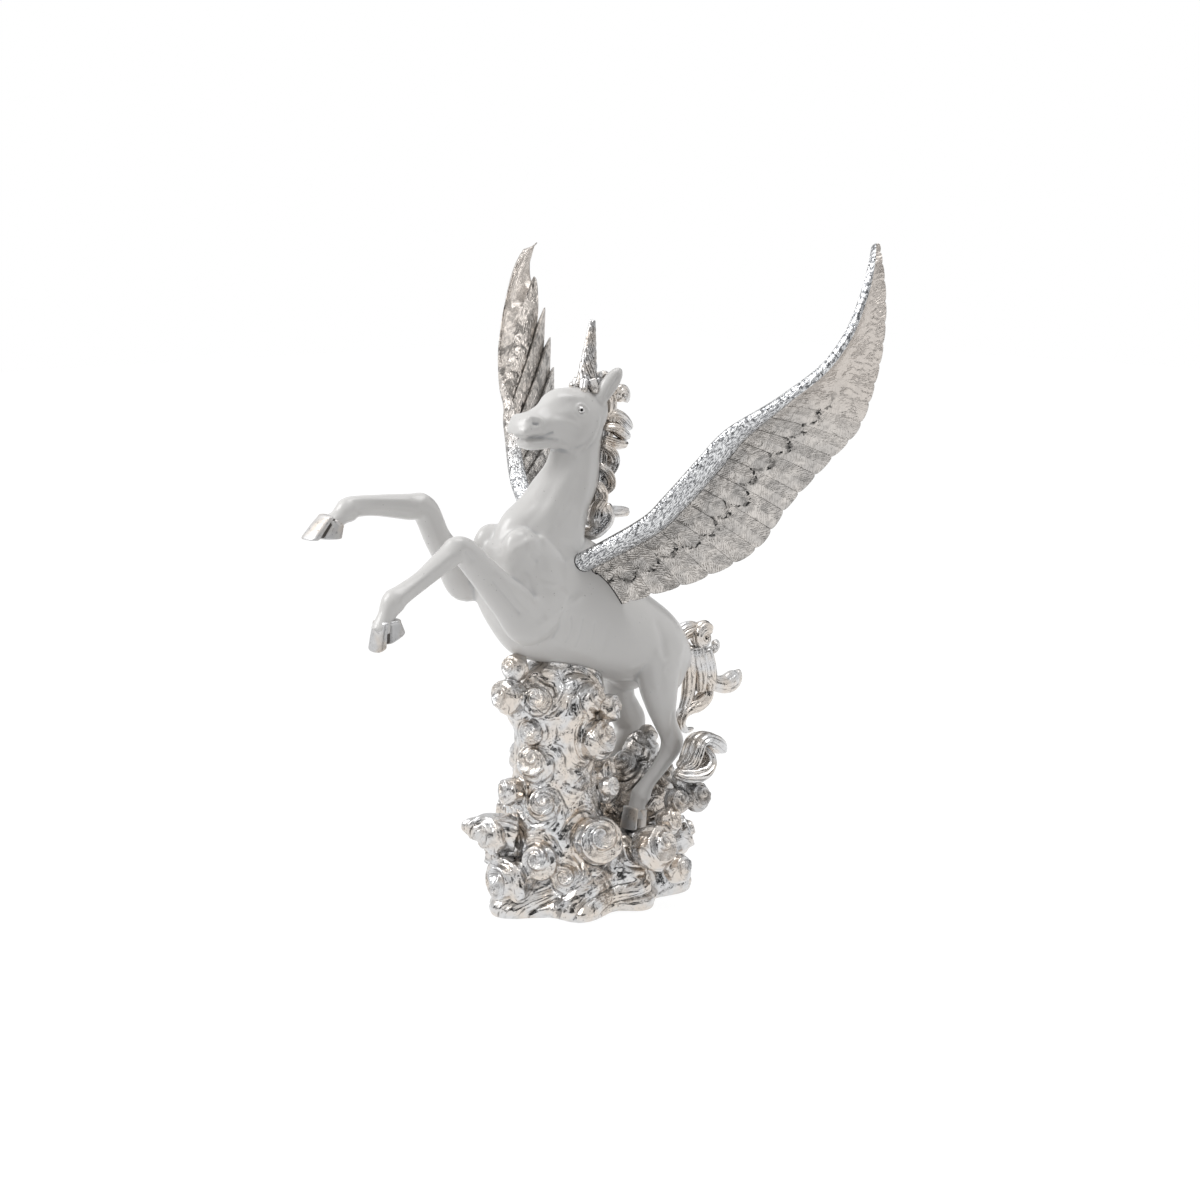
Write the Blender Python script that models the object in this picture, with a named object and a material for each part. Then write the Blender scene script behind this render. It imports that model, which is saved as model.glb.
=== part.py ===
"""Rearing winged unicorn figurine: a white cast resin horse with plated wings, on a plated cloud base.

The horse faces -Y, its own left is +X and +Z is up. The origin is the centre of the flat underside
of the felt pad. Sizes are in millimetres and are turned into metres where a mesh is made.
"""
import math

import bmesh
import bpy
import numpy as np
from mathutils import Matrix, Vector

MM = 0.001

# Clearances and casting fineness
GLUE_GAP = 0.3
SKIN_VOXEL = 1.5
SKIN_FACES = 3000
CLOUD_VOXEL = 1.4
CLOUD_FACES = 1950
HAIR_VOXEL = 1.3
MANE_FACES = 520
TAIL_FACES = 440
FORELOCK_FACES = 180

# Horse: widths that scale the sculpted stations
BARREL_HALF_WIDTH = 24.5
NECK_HALF_WIDTH = 18.0
HEAD_HALF_WIDTH = 14.5
LEG_HALF_WIDTH = 7.0
FORE_TRACK = 20.0
HIND_TRACK = 23.0
EYE_RADIUS = 2.6
EYE_PLACE = (-18.0, 298.0)
EYE_SHARE = 0.78
EAR_LENGTH = 19.0
POLL_HEIGHT = 302.0
MOUTH_HEIGHT = 284.0
MOUTH_CORNER = -47.0

# Hooves
HOOF_HALF_WIDTH = 8.0
HOOF_PEG_RADIUS = 2.6
HOOF_PEG_LENGTH = 4.5

# Horn
HORN_LENGTH = 40.0
HORN_BASE_RADIUS = 6.2
HORN_TIP_RADIUS = 1.3
HORN_STRANDS = 3
HORN_TURNS = 2.6
HORN_PIN_RADIUS = 1.2
HORN_PIN_LENGTH = 14.0

# Wings
FEATHERS = 13
FEATHER_RELIEF = 0.8
FEATHER_THICKNESS = 3.0
WING_ARM_THICKNESS = 12.0
WING_ARM_WIDTH = 15.0
WING_CAMBER = 3.0
WING_SWEEP = 0.72
WING_ARM_TAPER = 0.75
WING_END = 0.992
INNER_NOTCH = 3.0
OUTER_NOTCH = 9.0

# Steel dowels
DOWEL_RADIUS = 1.5
DOWEL_LENGTH = 22.0
STOUT_DOWEL_RADIUS = 2.5
STOUT_DOWEL_LENGTH = 30.0

# Cloud base
BASE_HALF_WIDTH = 47.5
BASE_HALF_LENGTH = 69.0
BASE_LOBES = 8
BASE_LOBE_DEPTH = 0.1
BASE_LOBE_TURN = -1.0
PILLAR_AXIS = -30.0
REAR_AXIS = 36.0
BELLY_HEIGHT = 144.0
PAD_THICKNESS = 2.0
PAD_INSET = 3.0
SCROLL_TURNS = 1.8
SCROLL_GROOVE = 0.13
CLOUD_PARTING_HEIGHT = 58.0
CLOUD_PARTING_DEPTH = 7.0

# Height of the neck's parting line at the throat
NECK_PARTING = 266.0

# Rolled bosses of the cloud base: x, y, z and radius
CLOUD_SCROLLS = [
    (40, -31, 50, 15.5), (51, 5, 40, 14), (17, -55, 34, 13), (-10, -62, 50, 13), (-2, -57, 80, 10),
    (8, -50, 92, 12), (8, -54, 111, 9), (25, -25, 106, 14), (11, -56, 132, 12), (1, -65, 133, 10),
    (23, -18, 128, 13), (3, -62, 150, 8), (47, 45, 60, 9), (44, 31, 60, 9), (47, 21, 50, 9),
    (39, -21, 76, 8), (-1, -64, 20, 13), (59, 17, 24, 9), (20, 10, 66, 10), (26, -44, 24, 11),
    (-38, -26, 48, 14), (-46, 8, 42, 14), (-36, 42, 44, 13), (0, 60, 42, 13), (26, 50, 30, 12),
    (-20, -34, 88, 11), (-24, -18, 104, 13), (-20, -36, 130, 12), (-18, -4, 124, 11), (-22, -6, 80, 11),
    (4, -6, 94, 10), (18, -6, 80, 9), (14, -50, 68, 10), (-22, 46, 66, 11), (10, 50, 66, 11),
    (-28, 20, 66, 11), (-30, -46, 26, 12), (-50, 30, 22, 11), (20, 36, 90, 9), (4, 46, 84, 9),
    (-10, 36, 88, 9), (34, 24, 70, 9),
]

WHITE = (0.86, 0.86, 0.87)
SILVER = (0.74, 0.73, 0.72)
STEEL = (0.55, 0.56, 0.58)
FELT = (0.04, 0.04, 0.045)

# Side view of the horse: (y, z) marks that several pieces share
ELBOW_LEFT, KNEE_LEFT, FETLOCK_FORE_LEFT = (-65, 180), (-115, 228), (-162, 206)
ELBOW_RIGHT, KNEE_RIGHT, FETLOCK_FORE_RIGHT = (-82, 199), (-109, 246), (-161, 251)
STIFLE_LEFT, HOCK_LEFT, FETLOCK_HIND_LEFT = (39, 121), (48, 92), (23, 62)
STIFLE_RIGHT, HOCK_RIGHT, FETLOCK_HIND_RIGHT = (45, 118), (54, 81), (33, 46)
HORN_FOOT = (-2.8, 309)
HORN_LEAN = 7.4

# Hoof head, toe and heel of each hoof as (y, z) steps from its fetlock
HOOF_FORE_LEFT = (-6, -10), (-14, -26), (5, -18)
HOOF_FORE_RIGHT = (-8.5, -5), (-30, -13.5), (-7, -14.5)
HOOF_HIND_LEFT = (-4.5, -7), (-11, -20.5), (4.5, -21.5)
HOOF_HIND_RIGHT = (-3, -8), (-9, -21), (6, -22)

# Left wing: leading and trailing edges from root to tip
WING_LEAD = [
    (12, -31, 210), (36, -16.5, 226), (55, -8.5, 239), (66, -4, 251), (82, 5.5, 272), (96, 14.5, 290),
    (118, 31.5, 307), (136, 47, 324), (146, 57, 342), (150, 65, 361), (150, 73, 379), (144, 84, 395),
]
WING_TRAIL = [
    (17, 0, 180), (38, 21, 189), (57, 37.5, 198), (82, 56.5, 216), (98, 67, 243), (117, 79, 269),
    (131, 89.5, 290), (139.5, 94, 321), (144.5, 93, 347), (146, 90, 371), (144.5, 86, 395),
]


def clear_scene():
    """Remove what the scene holds at the start."""
    for thing in list(bpy.data.objects):
        bpy.data.objects.remove(thing, do_unlink=True)


def material(name, colour, roughness, metallic, coat=0.0):
    """One Principled finish."""
    look = bpy.data.materials.new(name)
    look.use_nodes = True
    shader = look.node_tree.nodes["Principled BSDF"]
    shader.inputs["Base Color"].default_value = (*colour, 1.0)
    shader.inputs["Roughness"].default_value = roughness
    shader.inputs["Metallic"].default_value = metallic
    shader.inputs["Coat Weight"].default_value = coat
    look.diffuse_color = (*colour, 1.0)
    return look


def new_object(name, points, faces):
    """Object from points in millimetres and faces that look outwards."""
    mesh = bpy.data.meshes.new(name)
    mesh.from_pydata((np.asarray(points, float) * MM).tolist(), [], faces)
    mesh.validate()
    thing = bpy.data.objects.new(name, mesh)
    bpy.context.collection.objects.link(thing)
    return thing


def loft(rings):
    """Points and faces of a closed body through rings that hold as many points each."""
    rings = np.asarray(rings, float)
    count, sides = rings.shape[:2]
    faces = [tuple(range(sides)), tuple(range(count * sides - 1, (count - 1) * sides - 1, -1))]
    for i in range(count - 1):
        for j in range(sides):
            k = (j + 1) % sides
            faces.append((i * sides + j, i * sides + k, (i + 1) * sides + k, (i + 1) * sides + j))
    return rings.reshape(-1, 3), faces


def face_out(thing):
    """Split a closed mesh into triangles and turn them outwards."""
    mesh = bmesh.new()
    mesh.from_mesh(thing.data)
    bmesh.ops.triangulate(mesh, faces=mesh.faces, ngon_method="EAR_CLIP")
    bmesh.ops.recalc_face_normals(mesh, faces=mesh.faces)
    mesh.to_mesh(thing.data)
    mesh.free()
    return thing


def lofted(name, rings):
    """Object lofted through rings."""
    return face_out(new_object(name, *loft(rings)))


def through(stations, steps):
    """Smooth values through the rows of stations, a Catmull-Rom spline column by column."""
    rows = np.asarray(stations, float)
    rows = np.vstack([2 * rows[0] - rows[1], rows, 2 * rows[-1] - rows[-2]])
    out = []
    for a, b, c, d in zip(rows, rows[1:], rows[2:], rows[3:]):
        for t in np.arange(steps) / steps:
            out.append(0.5 * (2 * b + (c - a) * t + (2 * a - 5 * b + 4 * c - d) * t**2
                              + (3 * b - a - 3 * c + d) * t**3))
    out.append(rows[-2])
    return np.array(out)


def unit(vector):
    """Vector of length one."""
    vector = np.asarray(vector, float)
    return vector / max(np.linalg.norm(vector), 1e-9)


def side_rings(stations, sides, taper, width):
    """Rings of a body drawn in side view: rows are top y, z, bottom y, z and a share of the width.

    Each ring is an egg with its top and bottom on the outline, narrower towards the top by taper.
    """
    turn = np.linspace(0, 2 * math.pi, sides, endpoint=False)
    rings = []
    for top_y, top_z, low_y, low_z, share in stations:
        middle = np.array([0, (top_y + low_y) / 2, (top_z + low_z) / 2])
        rise = np.array([0, (top_y - low_y) / 2, (top_z - low_z) / 2])
        half = share * width
        rings.append([middle + rise * math.cos(a)
                      + np.array([half * math.sin(a) * (1 - taper * math.cos(a)), 0, 0]) for a in turn])
    return rings


def limb_rings(stations, sides):
    """Rings square to a path: rows are x, y, z, half width across and half depth in side view."""
    stations = np.asarray(stations, float)
    headings = np.gradient(stations[:, :3], axis=0)
    turn = np.linspace(0, 2 * math.pi, sides, endpoint=False)
    rings = []
    for row, heading in zip(stations, headings):
        heading = unit(heading)
        across = unit(np.array([1, 0, 0]) - heading * heading[0])
        deep = np.cross(heading, across)
        rings.append([row[:3] + across * row[3] * math.cos(a) + deep * row[4] * math.sin(a) for a in turn])
    return rings


def ellipsoid(name, centre, radii, tilt=0.0, fine=3):
    """Ellipsoid turned by tilt degrees in side view, from a ball split fine times."""
    mesh = bpy.data.meshes.new(name)
    ball = bmesh.new()
    bmesh.ops.create_icosphere(ball, subdivisions=fine, radius=MM)
    move = (Matrix.Translation(Vector(centre) * MM) @ Matrix.Rotation(math.radians(tilt), 4, "X")
            @ Matrix.Diagonal((*radii, 1)))
    bmesh.ops.transform(ball, matrix=move, verts=ball.verts)
    ball.to_mesh(mesh)
    ball.free()
    thing = bpy.data.objects.new(name, mesh)
    bpy.context.collection.objects.link(thing)
    return thing


def rod(name, centre, direction, radius, length, sides=12):
    """Round bar about a centre."""
    heading = unit(direction)
    across = unit(np.cross(heading, [0.0, 0.0, 1.0] if abs(heading[2]) < 0.9 else [1.0, 0.0, 0.0]))
    deep = np.cross(heading, across)
    turn = np.linspace(0, 2 * math.pi, sides, endpoint=False)
    rings = [[np.asarray(centre, float) + heading * s * length / 2
              + radius * (across * math.cos(a) + deep * math.sin(a)) for a in turn] for s in (-1, 1)]
    return lofted(name, rings)


def prism(name, outline, low_x, high_x):
    """Block whose side view is an outline of (y, z) points, between two x values."""
    rings = [[(x, y, z) for y, z in outline] for x in (low_x, high_x)]
    return lofted(name, rings)


def inset(outline, distance):
    """Outline moved inwards by a distance; the outline runs anticlockwise."""
    points = np.asarray(outline, float)
    out = []
    for before, here, after in zip(np.roll(points, 1, axis=0), points, np.roll(points, -1, axis=0)):
        first, second = unit(here - before), unit(after - here)
        left = np.array([-first[1], first[0]]) + np.array([-second[1], second[0]])
        left = unit(left)
        sine = max(abs(np.dot(left, [-first[1], first[0]])), 0.3)
        out.append(tuple(here + left * distance / sine))
    return out


def bake(thing):
    """Replace an object's mesh by what its modifiers make of it."""
    bpy.context.view_layer.update()
    graph = bpy.context.evaluated_depsgraph_get()
    mesh = bpy.data.meshes.new_from_object(thing.evaluated_get(graph))
    thing.modifiers.clear()
    thing.data = mesh
    return thing


def duplicate(thing, name):
    """Copy of an object with a mesh of its own."""
    twin = thing.copy()
    twin.data = thing.data.copy()
    twin.name = name
    bpy.context.collection.objects.link(twin)
    return twin


def discard(*things):
    """Remove helper objects."""
    for thing in things:
        bpy.data.objects.remove(thing, do_unlink=True)


def main_body(thing):
    """Drop the crumbs that a cut leaves: closed shells of less volume than the largest."""
    mesh = bmesh.new()
    mesh.from_mesh(thing.data)
    mesh.faces.ensure_lookup_table()
    seen, shells = set(), []
    for start in mesh.faces:
        if start.index in seen:
            continue
        shell, queue, volume = [], [start], 0.0
        seen.add(start.index)
        while queue:
            face = queue.pop()
            shell.append(face)
            volume += face.calc_center_median().dot(face.normal) * face.calc_area()
            for edge in face.edges:
                for other in edge.link_faces:
                    if other.index not in seen:
                        seen.add(other.index)
                        queue.append(other)
        shells.append((volume, shell))
    largest = max(volume for volume, _ in shells) if shells else 0.0
    crumbs = [shell for volume, shell in shells if 0.0 <= volume < largest]
    for shell in crumbs:
        bmesh.ops.delete(mesh, geom=shell, context="FACES")
    if crumbs:
        mesh.to_mesh(thing.data)
    mesh.free()
    return thing


def combine(thing, tool, operation, keep_tool=False):
    """Boolean of two closed bodies, the exact solver."""
    step = thing.modifiers.new("seat", "BOOLEAN")
    step.operation = operation
    step.solver = "EXACT"
    step.object = tool
    bake(thing)
    if not keep_tool:
        discard(tool)
    return main_body(thing)


def cast_form(name, things, voxel, smoothing, faces):
    """One closed skin round several overlapping bodies, thinned to a number of faces."""
    points, polygons = [], []
    for thing in things:
        start = len(points)
        points.extend((np.array(v.co) / MM).tolist() for v in thing.data.vertices)
        polygons.extend(tuple(start + i for i in p.vertices) for p in thing.data.polygons)
    discard(*things)
    form = new_object(name, points, polygons)
    remesh = form.modifiers.new("skin", "REMESH")
    remesh.mode = "VOXEL"
    remesh.voxel_size = voxel * MM
    soften = form.modifiers.new("soften", "SMOOTH")
    soften.factor = 0.5
    soften.iterations = smoothing
    main_body(bake(form))
    triangles = sum(len(p.vertices) - 2 for p in form.data.polygons)
    thin = form.modifiers.new("thin", "DECIMATE")
    thin.ratio = min(1.0, faces / triangles)
    return face_out(bake(form))


def swollen(thing, name, gap=GLUE_GAP):
    """Copy of a body grown by a gap, which cuts the seat of a neighbour."""
    twin = duplicate(thing, name)
    grow = twin.modifiers.new("grow", "DISPLACE")
    grow.strength = gap * MM
    grow.mid_level = 0.0
    return bake(twin)


def finish(thing, name, look, angle=35.0):
    """Name a finished piece, give it its material and shade it smooth but for sharp edges."""
    thing.name = name
    thing.data.name = name
    thing.data.materials.clear()
    thing.data.materials.append(look)
    thing.data.shade_smooth()
    thing.data.set_sharp_from_angle(angle=math.radians(angle))
    return thing


# Horse

def horse_parts():
    """Bodies whose common skin is the horse: trunk, neck, head, muscles and four legs."""
    trunk = [
        (-79, 218, -84, 204, 0.4), (-73, 226, -81, 193, 0.72), (-48, 230, -75, 177, 0.9),
        (-20, 226, -59.5, 157.5, 0.95), (2, 217, -37, 149, 0.98), (22, 198, -11, 138, 1.0),
        (43, 182, 14, 130, 1.0), (61.5, 168.5, 37, 127, 0.96), (72, 156.5, 54, 125, 0.82),
        (78, 144, 66, 124, 0.6), (81, 136, 75, 127, 0.26),
    ]
    neck = [
        (-6, 200, -74, 200, 1.05), (-8, 212, -74.5, 212, 1.03), (-8, 224, -73, 224, 0.97),
        (-4.5, 238, -66, 238, 0.89), (1, 248, -52, 248, 0.82), (4, 257, -42.5, 257, 0.77),
        (4.5, 267, -32, 267, 0.69), (5.5, 278, -26, 278, 0.66), (7, 288, -19, 288, 0.6), (8, 298, -12, 298, 0.46),
    ]
    head = [
        (11, 299, 6, 287, 0.46), (8, 305.5, -4, 277, 0.8), (-4, 309.5, -13, 272.5, 0.98),
        (-18, 308.5, -22, 272.5, 1.0), (-31, 303.5, -31, 277, 0.84), (-42, 299, -41, 280.5, 0.66),
        (-51, 297, -50, 280, 0.62), (-58, 294.5, -57, 280, 0.6), (-62, 291, -60.5, 283, 0.4),
    ]
    bodies = [
        lofted("trunk", side_rings(through(trunk, 3), 24, 0.1, BARREL_HALF_WIDTH)),
        lofted("neck", side_rings(through(neck, 2), 24, 0.0, NECK_HALF_WIDTH)),
        lofted("skull", side_rings(through(head, 2), 24, 0.12, HEAD_HALF_WIDTH)),
    ]
    for side in (1, -1):
        bodies += [
            ellipsoid("haunch", (side * 0.55 * BARREL_HALF_WIDTH, 46, 141), (11, 22, 25), 25),
            ellipsoid("blade", (side * 0.46 * BARREL_HALF_WIDTH, -50, 201), (12.5, 21, 30), 24),
            ellipsoid("shoulder", (side * 0.53 * BARREL_HALF_WIDTH, -65, 219), (9, 13, 15.5), 20),
            ellipsoid("jowl", (side * 0.62 * HEAD_HALF_WIDTH, -11, 287), (5, 13, 13.5)),
        ]
        ear = [(8, 3, 0, 3.2, 3.2), (9, 5.5, 0.3, 3.8, 3.4), (10.5, 9.5, 0.65, 3.0, 2.9), (12, 12.5, 1, 0.9, 0.9)]
        ear = [(side * x, y, POLL_HEIGHT + EAR_LENGTH * rise, w, d) for x, y, rise, w, d in ear]
        bodies.append(lofted("ear", limb_rings(through(ear, 2), 12)))
    bodies += [lofted("leg", limb_rings(through(rows, 3), 16)) for rows in leg_stations()]
    return bodies


def leg_stations():
    """Rows of the four legs, from inside the trunk to just past the hoof head."""
    slim = LEG_HALF_WIDTH
    fore, hind = FORE_TRACK, HIND_TRACK
    (ey, ez), (ky, kz), (fy, fz) = ELBOW_LEFT, KNEE_LEFT, FETLOCK_FORE_LEFT
    fore_left = [
        (fore - 3, ey + 20, ez + 12, 1.2 * slim, 15), (fore, ey, ez + 1, 1.3 * slim, 14.5),
        (fore, ey - 16, ez + 15, 1.2 * slim, 11.8), (fore, ky + 16, kz - 15, 1.05 * slim, 9.2),
        (fore, ky, kz, 1.05 * slim, 7.8), (fore, ky - 11, kz - 4, 0.9 * slim, 6.6),
        (fore, fy + 20, fz + 9, 0.74 * slim, 5.6), (fore, fy, fz, 0.92 * slim, 7.2),
        (fore, fy - 4, fz - 7, 0.76 * slim, 5.4), (fore, fy - 10, fz - 18, 0.95 * slim, 6.4),
    ]
    (ey, ez), (ky, kz), (fy, fz) = ELBOW_RIGHT, KNEE_RIGHT, FETLOCK_FORE_RIGHT
    fore_right = [
        (4 - fore, ey + 18, ez + 8, 1.2 * slim, 12.5), (-fore, ey + 1.5, ez + 1, 1.2 * slim, 10.8),
        (-fore, ey - 9, ez + 17, 1.1 * slim, 9.5), (-fore, ky + 9, kz - 17, 1.0 * slim, 8),
        (-fore, ky, kz, 1.05 * slim, 7.8), (-fore, ky - 12, kz + 2.4, 0.9 * slim, 7.4),
        (-fore, fy + 18, fz + 0.4, 0.74 * slim, 6.4), (-fore, fy, fz, 0.92 * slim, 7.2),
        (-fore, fy - 6, fz - 3.5, 0.76 * slim, 5.6), (-fore, fy - 16, fz - 9, 0.95 * slim, 6.4),
    ]
    (sy, sz), (hy, hz), (fy, fz) = STIFLE_LEFT, HOCK_LEFT, FETLOCK_HIND_LEFT
    hind_left = [
        (hind - 4, sy + 4, sz + 22, 1.8 * slim, 20), (hind, sy, sz, 1.4 * slim, 14),
        (hind, sy + 1, sz - 14, 1.1 * slim, 10.4), (hind, hy, hz, 0.98 * slim, 8.2),
        (hind, hy - 7, hz - 9, 0.82 * slim, 6.4), (hind, fy + 9, fz + 10, 0.76 * slim, 5.8),
        (hind, fy, fz, 1.0 * slim, 7.4), (hind, fy - 2.5, fz - 4.5, 0.86 * slim, 6.2),
        (hind, fy - 8, fz - 15, 1.0 * slim, 6.8),
    ]
    (sy, sz), (hy, hz), (fy, fz) = STIFLE_RIGHT, HOCK_RIGHT, FETLOCK_HIND_RIGHT
    hind_right = [
        (4 - hind, sy + 2, sz + 24, 1.8 * slim, 19), (-hind, sy, sz, 1.15 * slim, 9.5),
        (-hind, sy + 3, sz - 12, 0.95 * slim, 7.4), (-hind, hy, hz, 0.98 * slim, 8.2),
        (-hind, hy - 7, hz - 9, 0.82 * slim, 6.4), (-hind, fy + 8, fz + 10, 0.76 * slim, 5.8),
        (-hind, fy, fz, 1.0 * slim, 7.4), (-hind, fy - 2, fz - 5, 0.86 * slim, 6.2),
        (-hind, fy - 5, fz - 15, 1.0 * slim, 6.8),
    ]
    return fore_left, fore_right, hind_left, hind_right


def parting(knuckle, bend, step, half_depth, far_corners):
    """Side view outline of a limb beyond its parting line, with the line's middle and heading.

    The line stands square to the bone from knuckle to bend, a step along it.
    """
    knuckle, bend = np.array(knuckle, float), np.array(bend, float)
    heading = unit(bend - knuckle)
    square = np.array([-heading[1], heading[0]])
    middle = knuckle + heading * step
    outline = [middle - square * half_depth, *far_corners, middle + square * half_depth]
    area = sum(a[0] * b[1] - b[0] * a[1] for a, b in zip(outline, outline[1:] + outline[:1]))
    if area < 0:
        outline.reverse()
    return outline, middle, heading


def limb_plan():
    """Name, x range, parting and hoof marks of the four legs."""
    (ey, ez), (ky, kz) = ELBOW_LEFT, KNEE_LEFT
    fore_left = parting(ELBOW_LEFT, KNEE_LEFT, 20, 13.5,
                        [(ey - 21, ez + 37), (ky + 10, kz + 60), (ky - 100, kz + 60), (ky - 100, kz - 80),
                         (ky + 22, kz - 50)])
    (ey, ez), (ky, kz) = ELBOW_RIGHT, KNEE_RIGHT
    fore_right = parting(ELBOW_RIGHT, KNEE_RIGHT, 19, 11.5,
                         [(ey - 2, ez + 32), (ky + 26, kz + 40), (ky - 100, kz + 40), (ky - 100, kz - 60),
                          (ky + 6, kz - 40)])
    (hy, hz) = HOCK_LEFT
    hind_left = parting(STIFLE_LEFT, HOCK_LEFT, 12, 16,
                        [(hy - 60, hz - 20), (hy - 60, hz - 80), (hy + 40, hz - 80), (hy + 40, hz + 14)])
    (hy, hz) = HOCK_RIGHT
    hind_right = parting(STIFLE_RIGHT, HOCK_RIGHT, 10, 15,
                         [(hy - 50, hz - 20), (hy - 50, hz - 80), (hy + 40, hz - 80), (hy + 40, hz + 20)])
    return [
        ("foreleg_left", FORE_TRACK, (0.4 * FORE_TRACK, 2.2 * FORE_TRACK), fore_left),
        ("foreleg_right", -FORE_TRACK, (-2.2 * FORE_TRACK, -0.4 * FORE_TRACK), fore_right),
        ("hind_leg_left", HIND_TRACK, (0.1 * HIND_TRACK, 2.2 * HIND_TRACK), hind_left),
        ("hind_leg_right", -HIND_TRACK, (-2.2 * HIND_TRACK, -0.1 * HIND_TRACK), hind_right),
    ]


def hoof(name, x, fetlock, steps, look):
    """Plated hoof with a socket for the leg's peg; also the peg and a block past the hoof head."""
    fetlock = np.array(fetlock, float)
    top, toe, heel = (fetlock + np.array(step, float) for step in steps)
    down, fore = unit(top - fetlock), unit(toe - heel)
    flat = np.array([-down[1], down[0]])
    flat = flat if np.dot(flat, fore) > 0 else -flat
    turn = np.linspace(0, 2 * math.pi, 14, endpoint=False)
    sole, half_sole = (toe + heel) / 2, np.linalg.norm(toe - heel) / 2
    rings = []
    for blend, swell in ((0, 0.94), (0.08, 1.03), (0.9, 1.0), (1, 0.95)):
        middle = (top + down * GLUE_GAP) * (1 - blend) + sole * blend
        heading = unit(flat * (1 - blend) + fore * blend)
        depth = swell * (6.6 * (1 - blend) + half_sole * blend)
        width = swell * HOOF_HALF_WIDTH * (0.86 + 0.14 * blend)
        rings.append([(x + width * math.sin(a), *(middle + heading * depth * math.cos(a))) for a in turn])
    body = lofted(name, rings)
    place, heading = (x, *top), (0, *down)

    def peg(radius, length):
        middle = top + down * (length / 2 - 1)
        return rod("peg", (x, *middle), heading, radius, length + 2, 10)

    combine(body, peg(HOOF_PEG_RADIUS + GLUE_GAP, HOOF_PEG_LENGTH + GLUE_GAP), "DIFFERENCE")
    finish(body, name, look)
    beyond = rod("beyond", np.array(place) + 15 * np.array(heading), heading, 22, 30, 8)
    return body, peg(HOOF_PEG_RADIUS, HOOF_PEG_LENGTH), beyond


def dowel(name, middle, heading, radius, length, look, hosts):
    """Steel dowel in a drilled hole that its hosts share."""
    for host in hosts:
        combine(host, rod("drill", middle, heading, radius + GLUE_GAP, length + 2 * GLUE_GAP), "DIFFERENCE")
    return finish(rod(name, middle, heading, radius, length), name, look)


# Wings

def point_along(points, share):
    """Point at a share of the length of a smooth curve through points."""
    curve = through(points, 6)
    steps = np.linalg.norm(np.diff(curve, axis=0), axis=1)
    reach = np.concatenate([[0], np.cumsum(steps)]) / steps.sum()
    return np.array([np.interp(share, reach, curve[:, k]) for k in range(3)])


def wing_arm(share):
    """Middle of the wing's thick arm at a share of its length, and the arm's width there."""
    lead, trail = point_along(WING_LEAD, share), point_along(WING_TRAIL, share**WING_SWEEP)
    width = WING_ARM_WIDTH * (1 - WING_ARM_TAPER * share)
    return lead + unit(trail - lead) * width / 2, width


def wing_rings():
    """Closed sections of the left wing, each from the leading edge to a feather's end and back."""
    columns = []
    for feather in range(FEATHERS):
        for place, lift in ((0.0, -1.0), (0.5, 0.3), (0.9, 1.0)):
            columns.append(((feather + place) / FEATHERS, lift, place == 0.5))
    sheet, half, relief = [], [], []
    for share, lift, shaft in columns:
        share = WING_END * share
        lead, trail = point_along(WING_LEAD, share), point_along(WING_TRAIL, share**WING_SWEEP)
        chord = np.linalg.norm(trail - lead)
        heading = (trail - lead) / chord
        notch = INNER_NOTCH + (OUTER_NOTCH - INNER_NOTCH) * share**2
        end = chord - (0.0 if shaft else min(notch, 0.4 * chord))
        band = min(WING_ARM_WIDTH * (1 - WING_ARM_TAPER * share), 0.5 * chord)
        arm = WING_ARM_THICKNESS * (1 - WING_ARM_TAPER * share) / 2
        slight = min(1, chord / 30)
        blade = FEATHER_THICKNESS / 2 * (0.4 + 0.6 * slight)
        covert = band + (0.42 if shaft else 0.34) * (end - band)
        row = [(0.12 * band, 0.66 * arm, 0), (0.5 * band, arm, 0), (0.9 * band, 0.6 * arm, 0.3),
               (band + 0.1 * (end - band), 1.2 * blade, 0.6), (covert, 1.2 * blade, 1),
               (covert + 0.05 * (end - band), 0.75 * blade, 1), (end, 0.4 * blade, 0.4)]
        sheet.append([lead + heading * reach for reach, _, _ in row])
        half.append([thick for _, thick, _ in row])
        relief.append([weight * slight * lift * FEATHER_RELIEF / 2 for _, _, weight in row])
    sheet, half, relief = np.array(sheet), np.array(half), np.array(relief)
    across = np.gradient(sheet, axis=1)
    outward = np.gradient(np.array([point_along(WING_LEAD, WING_END * c[0]) for c in columns]), axis=0)[:, None, :]
    square = np.cross(outward, across)
    square /= np.linalg.norm(square, axis=2, keepdims=True)
    bow = np.sin(np.linspace(0, math.pi, sheet.shape[1]))[None, :, None] * WING_CAMBER
    sheet = sheet + square * bow
    upper = sheet + square * (half + relief)[:, :, None]
    lower = sheet - square * (half - relief)[:, :, None]
    return np.concatenate([upper, lower[:, ::-1]], axis=1)


def wing(name, side, look, seat):
    """One wing casting, mirrored for the right, with its root cut to the horse's flank."""
    body = lofted(name, wing_rings() * np.array([side, 1, 1]))
    combine(body, seat, "DIFFERENCE", keep_tool=True)
    return finish(body, name, look)


# Locks, horn and tail

def lock(name, points, thick, thin, sides=10):
    """Tapered lock of hair along a smooth path, thickest a third of the way."""
    path = through(points, 4)
    share = np.linspace(0, 1, len(path))
    radius = thin + (thick - thin) * np.sin(math.pi * np.clip(share * 0.75 + 0.25, 0, 1)) ** 0.7
    return lofted(name, limb_rings(np.column_stack([path, radius, radius]), sides))


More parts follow.
